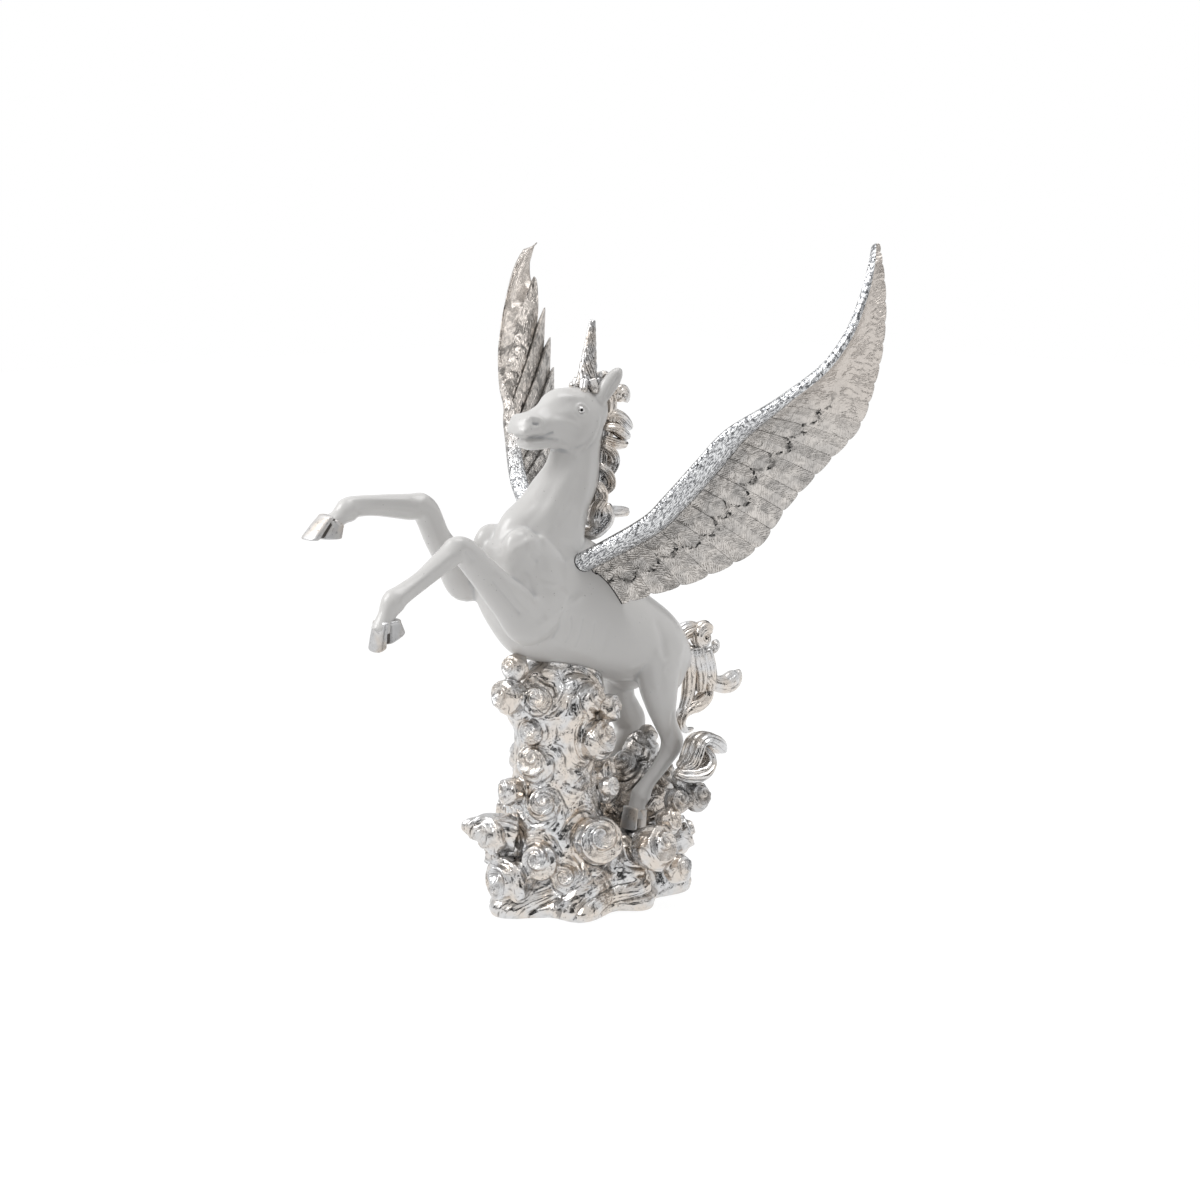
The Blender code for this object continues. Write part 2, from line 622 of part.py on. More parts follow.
def volute(name, centre, radius, turns, thick, heading, start):
    """Curl of hair: a tube that winds in to a centre while it thins, seen along a heading."""
    heading = unit(heading)
    first = unit(np.cross(heading, [0.0, 0.0, 1.0]) if abs(heading[2]) < 0.9 else [0.0, 1.0, 0.0])
    second = np.cross(heading, first)
    path = []
    for t in np.linspace(0, 1, int(14 * turns)):
        angle = math.radians(start) + 2 * math.pi * turns * t
        reach = radius * (1 - 0.86 * t)
        path.append([*(np.array(centre) + reach * (first * math.cos(angle) + second * math.sin(angle))
                       + heading * 2.5 * t), thick * (1 - 0.55 * t), thick * (1 - 0.55 * t)])
    return lofted(name, limb_rings(path, 8))


def horn_axis():
    """Foot and heading of the horn, leaning back by a few degrees."""
    lean = math.radians(HORN_LEAN)
    return np.array([0, *HORN_FOOT], float), np.array([0, math.sin(lean), math.cos(lean)])


def horn_body(name):
    """Rope-like tapered horn: strands wound round its axis, from just inside the brow."""
    foot, heading = horn_axis()
    across = np.array([1.0, 0, 0])
    deep = np.cross(heading, across)
    turn = np.linspace(0, 2 * math.pi, 12, endpoint=False)
    rings = []
    for t in np.linspace(-0.12, 1, 17):
        radius = HORN_BASE_RADIUS + (HORN_TIP_RADIUS - HORN_BASE_RADIUS) * max(t, 0)
        twist = 2 * math.pi * HORN_TURNS * t
        ring = []
        for a in turn:
            reach = radius * (1 + 0.13 * math.cos(HORN_STRANDS * a - twist))
            ring.append(foot + heading * HORN_LENGTH * t + reach * (across * math.cos(a) + deep * math.sin(a)))
        rings.append(ring)
    return lofted(name, rings)


def forelock_parts():
    """Bead-like locks round the foot of the horn, a curl behind it and a lock towards the poll."""
    foot, heading = horn_axis()
    beads = []
    for k in range(7):
        angle = 2 * math.pi * k / 7
        reach = HORN_BASE_RADIUS + 0.6
        middle = foot + np.array([reach * math.cos(angle), 1.1 * reach * math.sin(angle), 1.5])
        beads.append(ellipsoid("bead", middle, (2.9, 3.4, 3.2), 20 * math.sin(angle)))
    beads.append(volute("curl", (3, 7, 314), 3.6, 1.0, 2.4, (1, 0, 0), 150))
    beads.append(lock("lock", [(-3, 3, 310), (-4, 8, 313), (-2, 12, 315), (1, 14, 311)], 3.2, 1.6))
    return beads


def mane_parts():
    """Locks down the back of the neck: a core on the crest, curls, bands and one finger lock."""
    crest = [(0, 6, 226), (-2, 8, 238), (-3, 12, 250), (-3, 13, 262), (-3, 15, 276), (-2, 17, 290),
             (0, 15, 302), (0, 9, 309)]
    parts = [lofted("core", limb_rings(through([(*p, 7.5, 6) for p in crest], 3), 14))]
    parts += [
        volute("curl", (1, 23.5, 303), 5.5, 1.2, 3.4, (1, 0, 0), 120),
        volute("curl", (0, 24.5, 282), 7.6, 1.4, 4.0, (1, 0, 0.2), 150),
        volute("curl", (-9, 22, 292), 6.5, 1.3, 3.4, (-1, 0.4, 0), 30),
        lock("band", [(1, 11, 275), (3, 17, 272), (2, 18, 264), (-1, 15, 257)], 4.8, 2.0),
        lock("band", [(2, 9, 262), (4, 14, 257), (2, 14.5, 250), (-2, 12, 244)], 4.4, 1.8),
        lock("band", [(2, 7, 250), (4, 11, 246), (2, 10, 239), (-2, 6, 233)], 4.0, 1.8),
        lock("finger", [(-2, 7, 238), (-3, 16, 236), (-4, 27, 235.5), (-6, 37, 232)], 3.6, 2.2),
        lock("far", [(-7, 12, 272), (-12, 14, 262), (-13, 10, 250), (-11, 12, 240)], 4.4, 1.6),
        lock("far", [(-6, 10, 252), (-11, 10, 243), (-12, 6, 233), (-9, 9, 225)], 4.0, 1.6),
        lock("foot", [(3, 8, 240), (6, 8, 232), (4, 4, 226), (1, 0, 223), (-2, -4, 223)], 4.8, 3.0),
    ]
    return parts


def tail_parts():
    """Dock curl, a fall of locks and a side flick."""
    return [
        volute("curl", (2, 94, 143.5), 9.0, 1.3, 4.6, (1, 0, 0), 200),
        lock("dock", [(0, 70, 141), (0, 80, 146), (0, 88, 148.5), (0, 96, 149)], 6.0, 4.0),
        lock("fall", [(0, 86, 146), (1, 94, 134), (3, 101, 120), (2, 98, 108), (1, 88, 99)], 7.4, 1.8),
        lock("inner", [(-1, 80, 140), (-3, 84, 124), (-4, 82, 106), (-3, 79, 94), (-2, 84, 85)], 5.2, 1.4),
        lock("flick", [(2, 90, 138), (4, 99, 125), (5, 110, 118), (7, 120, 119), (8, 126, 125)], 5.6, 1.2),
        lock("far", [(-4, 84, 142), (-7, 92, 130), (-8, 94, 114), (-6, 88, 104)], 4.8, 1.6),
    ]


# Cloud base

def base_reach(angle, grow=0.0):
    """Distance from the axis to the wavy rim of the base at an angle, grown by a margin."""
    ellipse = 1 / math.hypot(math.cos(angle) / BASE_HALF_WIDTH, math.sin(angle) / BASE_HALF_LENGTH)
    wave = BASE_LOBE_DEPTH * math.cos(BASE_LOBES * (angle - math.radians(BASE_LOBE_TURN)))
    return ellipse * (1 + wave) + grow


def rim_ring(height, share, count=72, grow=0.0):
    """Level ring of the base's outline, scaled towards the axis."""
    turn = np.linspace(0, 2 * math.pi, count, endpoint=False)
    return [(share * base_reach(a, grow) * math.cos(a), share * base_reach(a, grow) * math.sin(a), height)
            for a in turn]


def scroll(name, centre, radius, hand):
    """Rolled cloud boss: a dome whose face winds in a spiral groove, facing away from the axis."""
    centre = np.array(centre, float)
    axis = PILLAR_AXIS if centre[1] < CLOUD_PARTING_DEPTH else REAR_AXIS
    axis = axis if centre[2] > CLOUD_PARTING_HEIGHT else 0.0
    outward = unit([centre[0], 0.7 * (centre[1] - axis), 0.25 * abs(centre[0]) + 3])
    first = unit(np.cross(outward, [0, 0, 1]))
    second = np.cross(outward, first)
    turn = np.linspace(0, 2 * math.pi, 28, endpoint=False)
    rings = []
    for share in (0.05, 0.2, 0.35, 0.5, 0.65, 0.8, 0.92, 1.0, 0.7):
        ring = []
        for a in turn:
            groove = math.cos(2 * math.pi * (share * SCROLL_TURNS + hand * a / (2 * math.pi)))
            level = math.sqrt(max(1 - share**2, 0)) + SCROLL_GROOVE * groove
            level = level if len(rings) < 8 else -0.6
            ring.append(centre + radius * (share * (first * math.cos(a) + second * math.sin(a))
                                           + 0.8 * level * outward))
        rings.append(ring)
    return lofted(name, rings)


def cloud_parts():
    """Bodies whose common skin is the cloud base: a spread foot, pillar, rear bank and rolled bosses."""
    foot = [(-5, 1.0), (PAD_THICKNESS + 4, 1.02), (13, 0.97), (22, 0.9), (34, 0.84), (46, 0.77), (56, 0.66),
            (63, 0.45)]
    parts = [
        lofted("foot", [rim_ring(height, share) for height, share in foot]),
        lofted("pillar", limb_rings(through([
            (0, -26, 40, 32, 30), (0, -30, 66, 29, 28), (2, -31, 92, 25, 24), (2, -30, 112, 27, 26),
            (0, -30, 130, 30, 32), (0, -32, 145, 24, 30)], 3), 24)),
        ellipsoid("bank", (3, 36, 58), (40, 28, 22)),
        ellipsoid("ridge", (0, 34, 80), (14, 17, 27), 10),
    ]
    leaf = [(0, -56, 46, 7, 9), (-10, -64, 50, 5, 7), (-20, -70, 52, 3.4, 4.6), (-29, -75, 54, 1.2, 1.6)]
    parts.append(lofted("leaf", limb_rings(through(leaf, 3), 10)))
    for k, (x, y, z, radius) in enumerate(CLOUD_SCROLLS):
        parts.append(scroll("scroll", (x, y, z), radius, 1 if k % 2 else -1))
    return parts


def plume_body(name):
    """Curled plume of cloud that stands on the rear bank."""
    path = [(33, 36, 64, 8, 8), (41, 38, 75, 7, 7.5), (46, 44, 86, 6, 6.5), (47, 51, 93, 5, 5),
            (48, 58, 92, 3.8, 3.4), (49, 61, 86, 2.2, 2)]
    return lofted(name, limb_rings(through(path, 3), 10))


def level_block(name, low, high, front, back):
    """Block between two heights and two depths, wider than the base."""
    wide = 2 * BASE_HALF_WIDTH
    return prism(name, [(front, low), (back, low), (back, high), (front, high)], -wide, wide)


def cast_horse():
    """The whole horse as one form, before it is parted into castings."""
    return cast_form("horse_form", horse_parts(), SKIN_VOXEL, 5, SKIN_FACES)


def part_head(skin, torso, steel):
    """Head casting above the neck's parting line, with its mouth, and the dowel that holds it."""
    above = [(-110, NECK_PARTING), (60, NECK_PARTING + 6), (60, 400), (-110, 400)]
    wide = 4 * HEAD_HALF_WIDTH
    head = duplicate(skin, "head")
    combine(head, prism("above", inset(above, GLUE_GAP), -wide, wide), "INTERSECT")
    combine(torso, prism("above", above, -wide, wide), "DIFFERENCE")
    mouth = [(-70, MOUTH_HEIGHT + 3.4), (MOUTH_CORNER, MOUTH_HEIGHT + 0.4), (MOUTH_CORNER, MOUTH_HEIGHT - 0.2),
             (-70, MOUTH_HEIGHT + 0.2)]
    combine(head, prism("mouth", mouth, -wide, wide), "DIFFERENCE")
    dowel("neck_dowel", (0, -13, NECK_PARTING + 3), (0, 0.35, 0.94), STOUT_DOWEL_RADIUS, DOWEL_LENGTH,
          steel, [torso, head])
    return head


def part_legs(skin, torso, white, silver, steel):
    """Four leg castings, each with a hoof on a peg and a dowel into the trunk; returns the hooves."""
    hooves = {
        "foreleg_left": ("hoof_fore_left", FETLOCK_FORE_LEFT, HOOF_FORE_LEFT, "foreleg_dowel_left"),
        "foreleg_right": ("hoof_fore_right", FETLOCK_FORE_RIGHT, HOOF_FORE_RIGHT, "foreleg_dowel_right"),
        "hind_leg_left": ("hoof_hind_left", FETLOCK_HIND_LEFT, HOOF_HIND_LEFT, "hind_dowel_left"),
        "hind_leg_right": ("hoof_hind_right", FETLOCK_HIND_RIGHT, HOOF_HIND_RIGHT, "hind_dowel_right"),
    }
    bodies = []
    for name, x, (low_x, high_x), (outline, middle, heading) in limb_plan():
        leg = duplicate(skin, name)
        block = prism("beyond", inset(outline, GLUE_GAP), low_x + GLUE_GAP, high_x - GLUE_GAP)
        combine(leg, block, "INTERSECT")
        combine(torso, prism("beyond", outline, low_x, high_x), "DIFFERENCE")
        hoof_name, fetlock, steps, dowel_name = hooves[name]
        body, peg, beyond = hoof(hoof_name, x, fetlock, steps, silver)
        combine(leg, beyond, "DIFFERENCE")
        combine(leg, peg, "UNION")
        dowel(dowel_name, (x, *middle), (0, *heading), DOWEL_RADIUS, DOWEL_LENGTH, steel, [torso, leg])
        finish(leg, name, white)
        bodies.append(body)
    return bodies


def fit_head(head, seat, silver, steel):
    """Horn on its pin, eyes in their sockets, and the forelock and mane seated on the skin."""
    horn = horn_body("horn")
    foot, heading = horn_axis()
    combine(horn, seat, "DIFFERENCE", keep_tool=True)
    dowel("horn_pin", foot, heading, HORN_PIN_RADIUS, HORN_PIN_LENGTH, steel, [head, horn])
    finish(horn, "horn", silver)
    for side, word in ((1, "left"), (-1, "right")):
        place = (side * EYE_SHARE * HEAD_HALF_WIDTH, *EYE_PLACE)
        combine(head, ellipsoid("socket", place, (EYE_RADIUS + GLUE_GAP,) * 3, fine=2), "DIFFERENCE")
        finish(ellipsoid("eye", place, (EYE_RADIUS,) * 3, fine=2), "eye_" + word, silver)
    forelock = cast_form("forelock", forelock_parts(), 0.9, 3, FORELOCK_FACES)
    combine(forelock, swollen(horn, "horn_seat"), "DIFFERENCE")
    combine(forelock, seat, "DIFFERENCE", keep_tool=True)
    finish(forelock, "forelock", silver)
    mane = cast_form("mane", mane_parts(), HAIR_VOXEL, 3, MANE_FACES)
    combine(mane, swollen(forelock, "forelock_seat"), "DIFFERENCE")
    combine(mane, seat, "DIFFERENCE", keep_tool=True)
    finish(mane, "mane", silver)


def fit_tail(seat, silver):
    """Tail seated on the croup."""
    tail = cast_form("tail", tail_parts(), HAIR_VOXEL, 3, TAIL_FACES)
    combine(tail, seat, "DIFFERENCE", keep_tool=True)
    finish(tail, "tail", silver)


def fit_wings(torso, seat, silver, steel):
    """Two wings, each on a dowel along its arm."""
    middle, _ = wing_arm(0.04)
    further, _ = wing_arm(0.12)
    for side, word in ((1, "left"), (-1, "right")):
        body = wing("wing_" + word, side, silver, seat)
        mirror = np.array([side, 1, 1])
        dowel("wing_dowel_" + word, middle * mirror, (further - middle) * mirror, DOWEL_RADIUS, DOWEL_LENGTH,
              steel, [torso, body])


def fit_clouds(torso, seat, hind_hooves, silver, steel):
    """Cloud castings: a plume in its socket, and the form parted into base, pillar and rear."""
    cloud = cast_form("cloud_form", cloud_parts(), CLOUD_VOXEL, 1, CLOUD_FACES)
    combine(cloud, seat, "DIFFERENCE")
    for body in hind_hooves:
        combine(cloud, swollen(body, "hoof_seat"), "DIFFERENCE")
    plume = plume_body("cloud_plume")
    combine(cloud, swollen(plume, "plume_seat"), "DIFFERENCE")
    finish(plume, "cloud_plume", silver)
    floor, half, far, top = PAD_THICKNESS + GLUE_GAP, GLUE_GAP / 2, 2 * BASE_HALF_LENGTH, 2 * BELLY_HEIGHT
    blocks = {
        "cloud_base": (floor, CLOUD_PARTING_HEIGHT - half, -far, far),
        "cloud_pillar": (CLOUD_PARTING_HEIGHT + half, top, -far, CLOUD_PARTING_DEPTH - half),
        "cloud_rear": (CLOUD_PARTING_HEIGHT + half, top, CLOUD_PARTING_DEPTH + half, far),
    }
    clouds = {name: combine(duplicate(cloud, name), level_block("block", *reach), "INTERSECT")
              for name, reach in blocks.items()}
    discard(cloud)
    dowel("pillar_dowel", (0, PILLAR_AXIS, CLOUD_PARTING_HEIGHT), (0, 0, 1), STOUT_DOWEL_RADIUS,
          STOUT_DOWEL_LENGTH, steel, [clouds["cloud_base"], clouds["cloud_pillar"]])
    dowel("belly_dowel", (0, PILLAR_AXIS, BELLY_HEIGHT), (0, 0, 1), STOUT_DOWEL_RADIUS, DOWEL_LENGTH,
          steel, [clouds["cloud_pillar"], torso])
    for name, body in clouds.items():
        finish(body, name, silver)


def main():
    """Build every piece."""
    clear_scene()
    white = material("white lacquer", WHITE, 0.32, 0.0, 0.6)
    silver = material("silver plate", SILVER, 0.22, 1.0)
    steel = material("steel", STEEL, 0.4, 1.0)
    felt = material("felt", FELT, 0.95, 0.0)

    skin = cast_horse()
    seat = swollen(skin, "horse_seat")
    torso = duplicate(skin, "torso")
    head = part_head(skin, torso, steel)
    hooves = part_legs(skin, torso, white, silver, steel)
    discard(skin)
    fit_head(head, seat, silver, steel)
    fit_tail(seat, silver)
    fit_wings(torso, seat, silver, steel)
    fit_clouds(torso, seat, hooves[2:], silver, steel)
    pad = lofted("felt_pad", [rim_ring(height, 1, 48, -PAD_INSET) for height in (0, PAD_THICKNESS)])
    finish(pad, "felt_pad", felt)
    finish(torso, "torso", white)
    finish(head, "head", white)


main()
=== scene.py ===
"""Rearing winged unicorn figurine: a white cast horse with silver plated wings, hair, hooves and cloud base.

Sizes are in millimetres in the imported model's frame, and become metres where a mesh is made. The view, the
floor, the cards and the lamps are placed in metres.
"""
import math

import bpy
import numpy as np
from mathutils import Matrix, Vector


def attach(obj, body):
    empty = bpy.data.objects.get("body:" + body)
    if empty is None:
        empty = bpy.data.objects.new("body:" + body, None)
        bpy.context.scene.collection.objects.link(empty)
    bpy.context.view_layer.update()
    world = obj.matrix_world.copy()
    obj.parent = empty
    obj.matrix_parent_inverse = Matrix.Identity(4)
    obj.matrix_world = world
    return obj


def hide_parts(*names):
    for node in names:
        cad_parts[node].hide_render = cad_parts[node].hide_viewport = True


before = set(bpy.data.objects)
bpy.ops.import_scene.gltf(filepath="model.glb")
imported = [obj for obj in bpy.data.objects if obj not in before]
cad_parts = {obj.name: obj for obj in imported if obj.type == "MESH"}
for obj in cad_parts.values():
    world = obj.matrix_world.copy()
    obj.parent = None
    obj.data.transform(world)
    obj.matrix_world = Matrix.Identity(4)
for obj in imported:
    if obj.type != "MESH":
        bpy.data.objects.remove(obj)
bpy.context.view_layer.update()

# View: the figurine is looked at from its left front, in degrees round and up, and from metres away. The aim
# is the middle of the picture, a little above the saddle.
AIM = Vector((0.0041, 0.0044, 0.182))
ROUND, RISE, REACH = 47, 11, 1.2


def add(name, data):
    """New object of a camera, a lamp or a mesh."""
    thing = bpy.data.objects.new(name, data)
    bpy.context.collection.objects.link(thing)
    return thing


def set_round(thing, turn, tilt, distance):
    """Aim an object at the figurine from (sin turn cos tilt, -cos turn cos tilt, sin tilt), in degrees."""
    turn, tilt = math.radians(turn), math.radians(tilt)
    way = Vector((math.sin(turn) * math.cos(tilt), -math.cos(turn) * math.cos(tilt), math.sin(tilt)))
    thing.location = AIM + distance * way
    thing.rotation_euler = (-way).to_track_quat("-Z", "Y").to_euler()


camera = add("camera", bpy.data.cameras.new("camera"))
camera.data.lens, camera.data.sensor_width = 60.0, 36.0
set_round(camera, ROUND, RISE, REACH)
bpy.context.scene.camera = camera
bpy.context.scene.view_settings.view_transform = "Standard"


# White horse: trunk, neck, head and four legs, cast in resin and glued on dowels. The seams are filled,
# then everything is rubbed down and sprayed with white satin lacquer, so that it looks like one skin.
MM = 0.001
SKIN_VOXEL = 0.93
BARREL, NECK, HEAD = 24.5, 18.0, 14.5
# Side views of the trunk, neck, skull and jaw: top y, z, bottom y, z and a share of the half width
TRUNK = [
    (-79, 218, -84, 204, 0.4), (-73, 226, -81, 193, 0.72), (-48, 230, -75, 177, 0.9),
    (-20, 226, -59.5, 157.5, 0.95), (2, 217, -37, 149, 0.98), (22, 198, -11, 138, 1.0),
    (43, 182, 14, 130, 1.0), (61.5, 168.5, 37, 127, 0.96), (72, 156.5, 54, 125, 0.82),
    (78, 144, 66, 124, 0.6), (81, 136, 75, 127, 0.26),
]
CREST = [
    (-6, 200, -74, 200, 1.05), (-8, 212, -74.5, 212, 1.03), (-8, 224, -73, 224, 0.97),
    (-4.5, 238, -66, 238, 0.89), (1, 248, -52, 248, 0.82), (4, 257, -42.5, 257, 0.77),
    (4.5, 267, -32, 267, 0.69), (5.5, 278, -26, 278, 0.66), (7, 288, -19, 288, 0.6), (8, 298, -12, 298, 0.46),
]
SKULL = [
    (11, 299, 6, 287, 0.46), (8, 305.5, -4, 277, 0.8), (-4, 309.6, -13, 272.5, 0.98),
    (-17, 310.4, -22, 272.5, 1.0), (-28.5, 309.4, -31, 276.5, 0.9), (-37.5, 302.4, -39, 280.8, 0.74),
    (-46, 298.8, -47.5, 284, 0.68), (-53, 297.4, -55.2, 283.8, 0.67), (-56.4, 294, -58.4, 285.2, 0.55),
    (-57.8, 291.4, -58.8, 287.4, 0.36),
]
JAW = [
    (-26, 283, -25, 274.6, 0.7), (-35, 283.6, -34, 276.2, 0.68), (-43, 284, -43, 275.8, 0.62),
    (-49, 283.6, -48.6, 276.2, 0.57), (-52, 282.6, -51.6, 277.6, 0.46), (-53.6, 281.4, -53.4, 279.4, 0.28),
]
# Ears and legs: x, y, z, half width across and half depth in side view
EAR = [(8, 0.5, 301, 3.4, 3.6), (9.3, 3, 307, 4.4, 5.2), (10.6, 7.6, 313, 4.0, 5.6),
       (11.6, 11.6, 318, 2.8, 4.0),
       (12, 13.4, 320.6, 1.2, 1.8)]
LEGS = [
    [(13, -34, 197, 5, 9), (17, -45, 192, 8.0, 14), (20, -65, 181, 9.1, 14.5), (20, -81, 195, 8.4, 11.8),
     (20, -99, 213, 7.35, 9.2), (20, -115, 228, 7.35, 7.8), (20, -126, 224, 6.3, 6.6),
     (20, -142, 215, 5.0, 5.4),
     (20, -156, 208.5, 5.4, 5.8), (20, -162, 205, 6.2, 7.0), (20, -167, 198, 4.7, 4.9),
     (20, -171, 190, 5.8, 5.8)],
    [(-13, -54, 205, 6, 9), (-17, -66, 204, 8.4, 12), (-20, -80.5, 200, 8.4, 10.8), (-20, -91, 216, 7.7, 9.5),
     (-20, -100, 229, 7.0, 8), (-20, -109, 246, 7.35, 7.8), (-20, -121, 248.4, 6.3, 7.4),
     (-20, -143, 251.4, 5.0, 6.0), (-20, -156, 252, 5.4, 6.0), (-20, -162, 250.5, 6.2, 7.0),
     (-20, -168, 247, 4.7, 5.0), (-20, -175, 243, 5.8, 5.8)],
    [(13, 46, 158, 5, 12), (17, 43, 146, 9, 17), (20.5, 38, 130, 9.6, 15.5), (23, 37.5, 118, 8.4, 11.6),
     (23, 41, 105, 6.6, 7.8), (23, 45.5, 96, 6.2, 7.0), (23, 47.5, 89, 6.4, 7.6), (23, 42, 81, 5.2, 5.8),
     (23, 33.5, 73.5, 4.5, 4.9), (23, 26, 67.5, 4.5, 4.9), (23, 20.5, 61, 6.0, 6.6), (23, 18, 56.5, 5.0, 5.2),
     (23, 15, 48, 6.4, 6.2)],
    [(-13, 48, 156, 5, 11), (-18, 46, 143, 10, 16), (-22, 44.5, 126, 9.4, 13), (-23, 46.5, 110, 8, 11),
     (-23, 52, 99, 7.6, 11.5), (-23, 56.5, 91.5, 7.2, 11), (-23, 50.5, 84, 6.4, 9.5), (-23, 43, 76, 5.6, 7.4),
     (-23, 38, 64, 5.2, 6.0), (-23, 34.5, 54, 5.2, 5.8), (-23, 33, 46, 6.0, 6.6), (-23, 31, 41, 5.0, 5.2),
     (-23, 28, 33, 6.4, 6.2)],
]
# Muscles of the haunch, shoulder, point of the shoulder and cheek: middle, radii and tilt in degrees
SWELLS = [
    ((13.5, 46, 141), (11, 22, 25), 25), ((11.3, -50, 201), (12.5, 21, 30), 24),
    ((13, -65, 219), (9, 13, 15.5), 20), ((8.6, -11, 287), (5, 13, 13.5), 0),
]
# Joints that are rubbed smooth: the middle of each and how far the rubbing reaches
RUBBED = [((19, -52, 186), 22), ((-17, -62, 202), 18), ((13, -68, 219), 15), ((-13, -68, 219), 15),
          ((18, 43, 143), 20), ((-20, 45, 140), 20)]
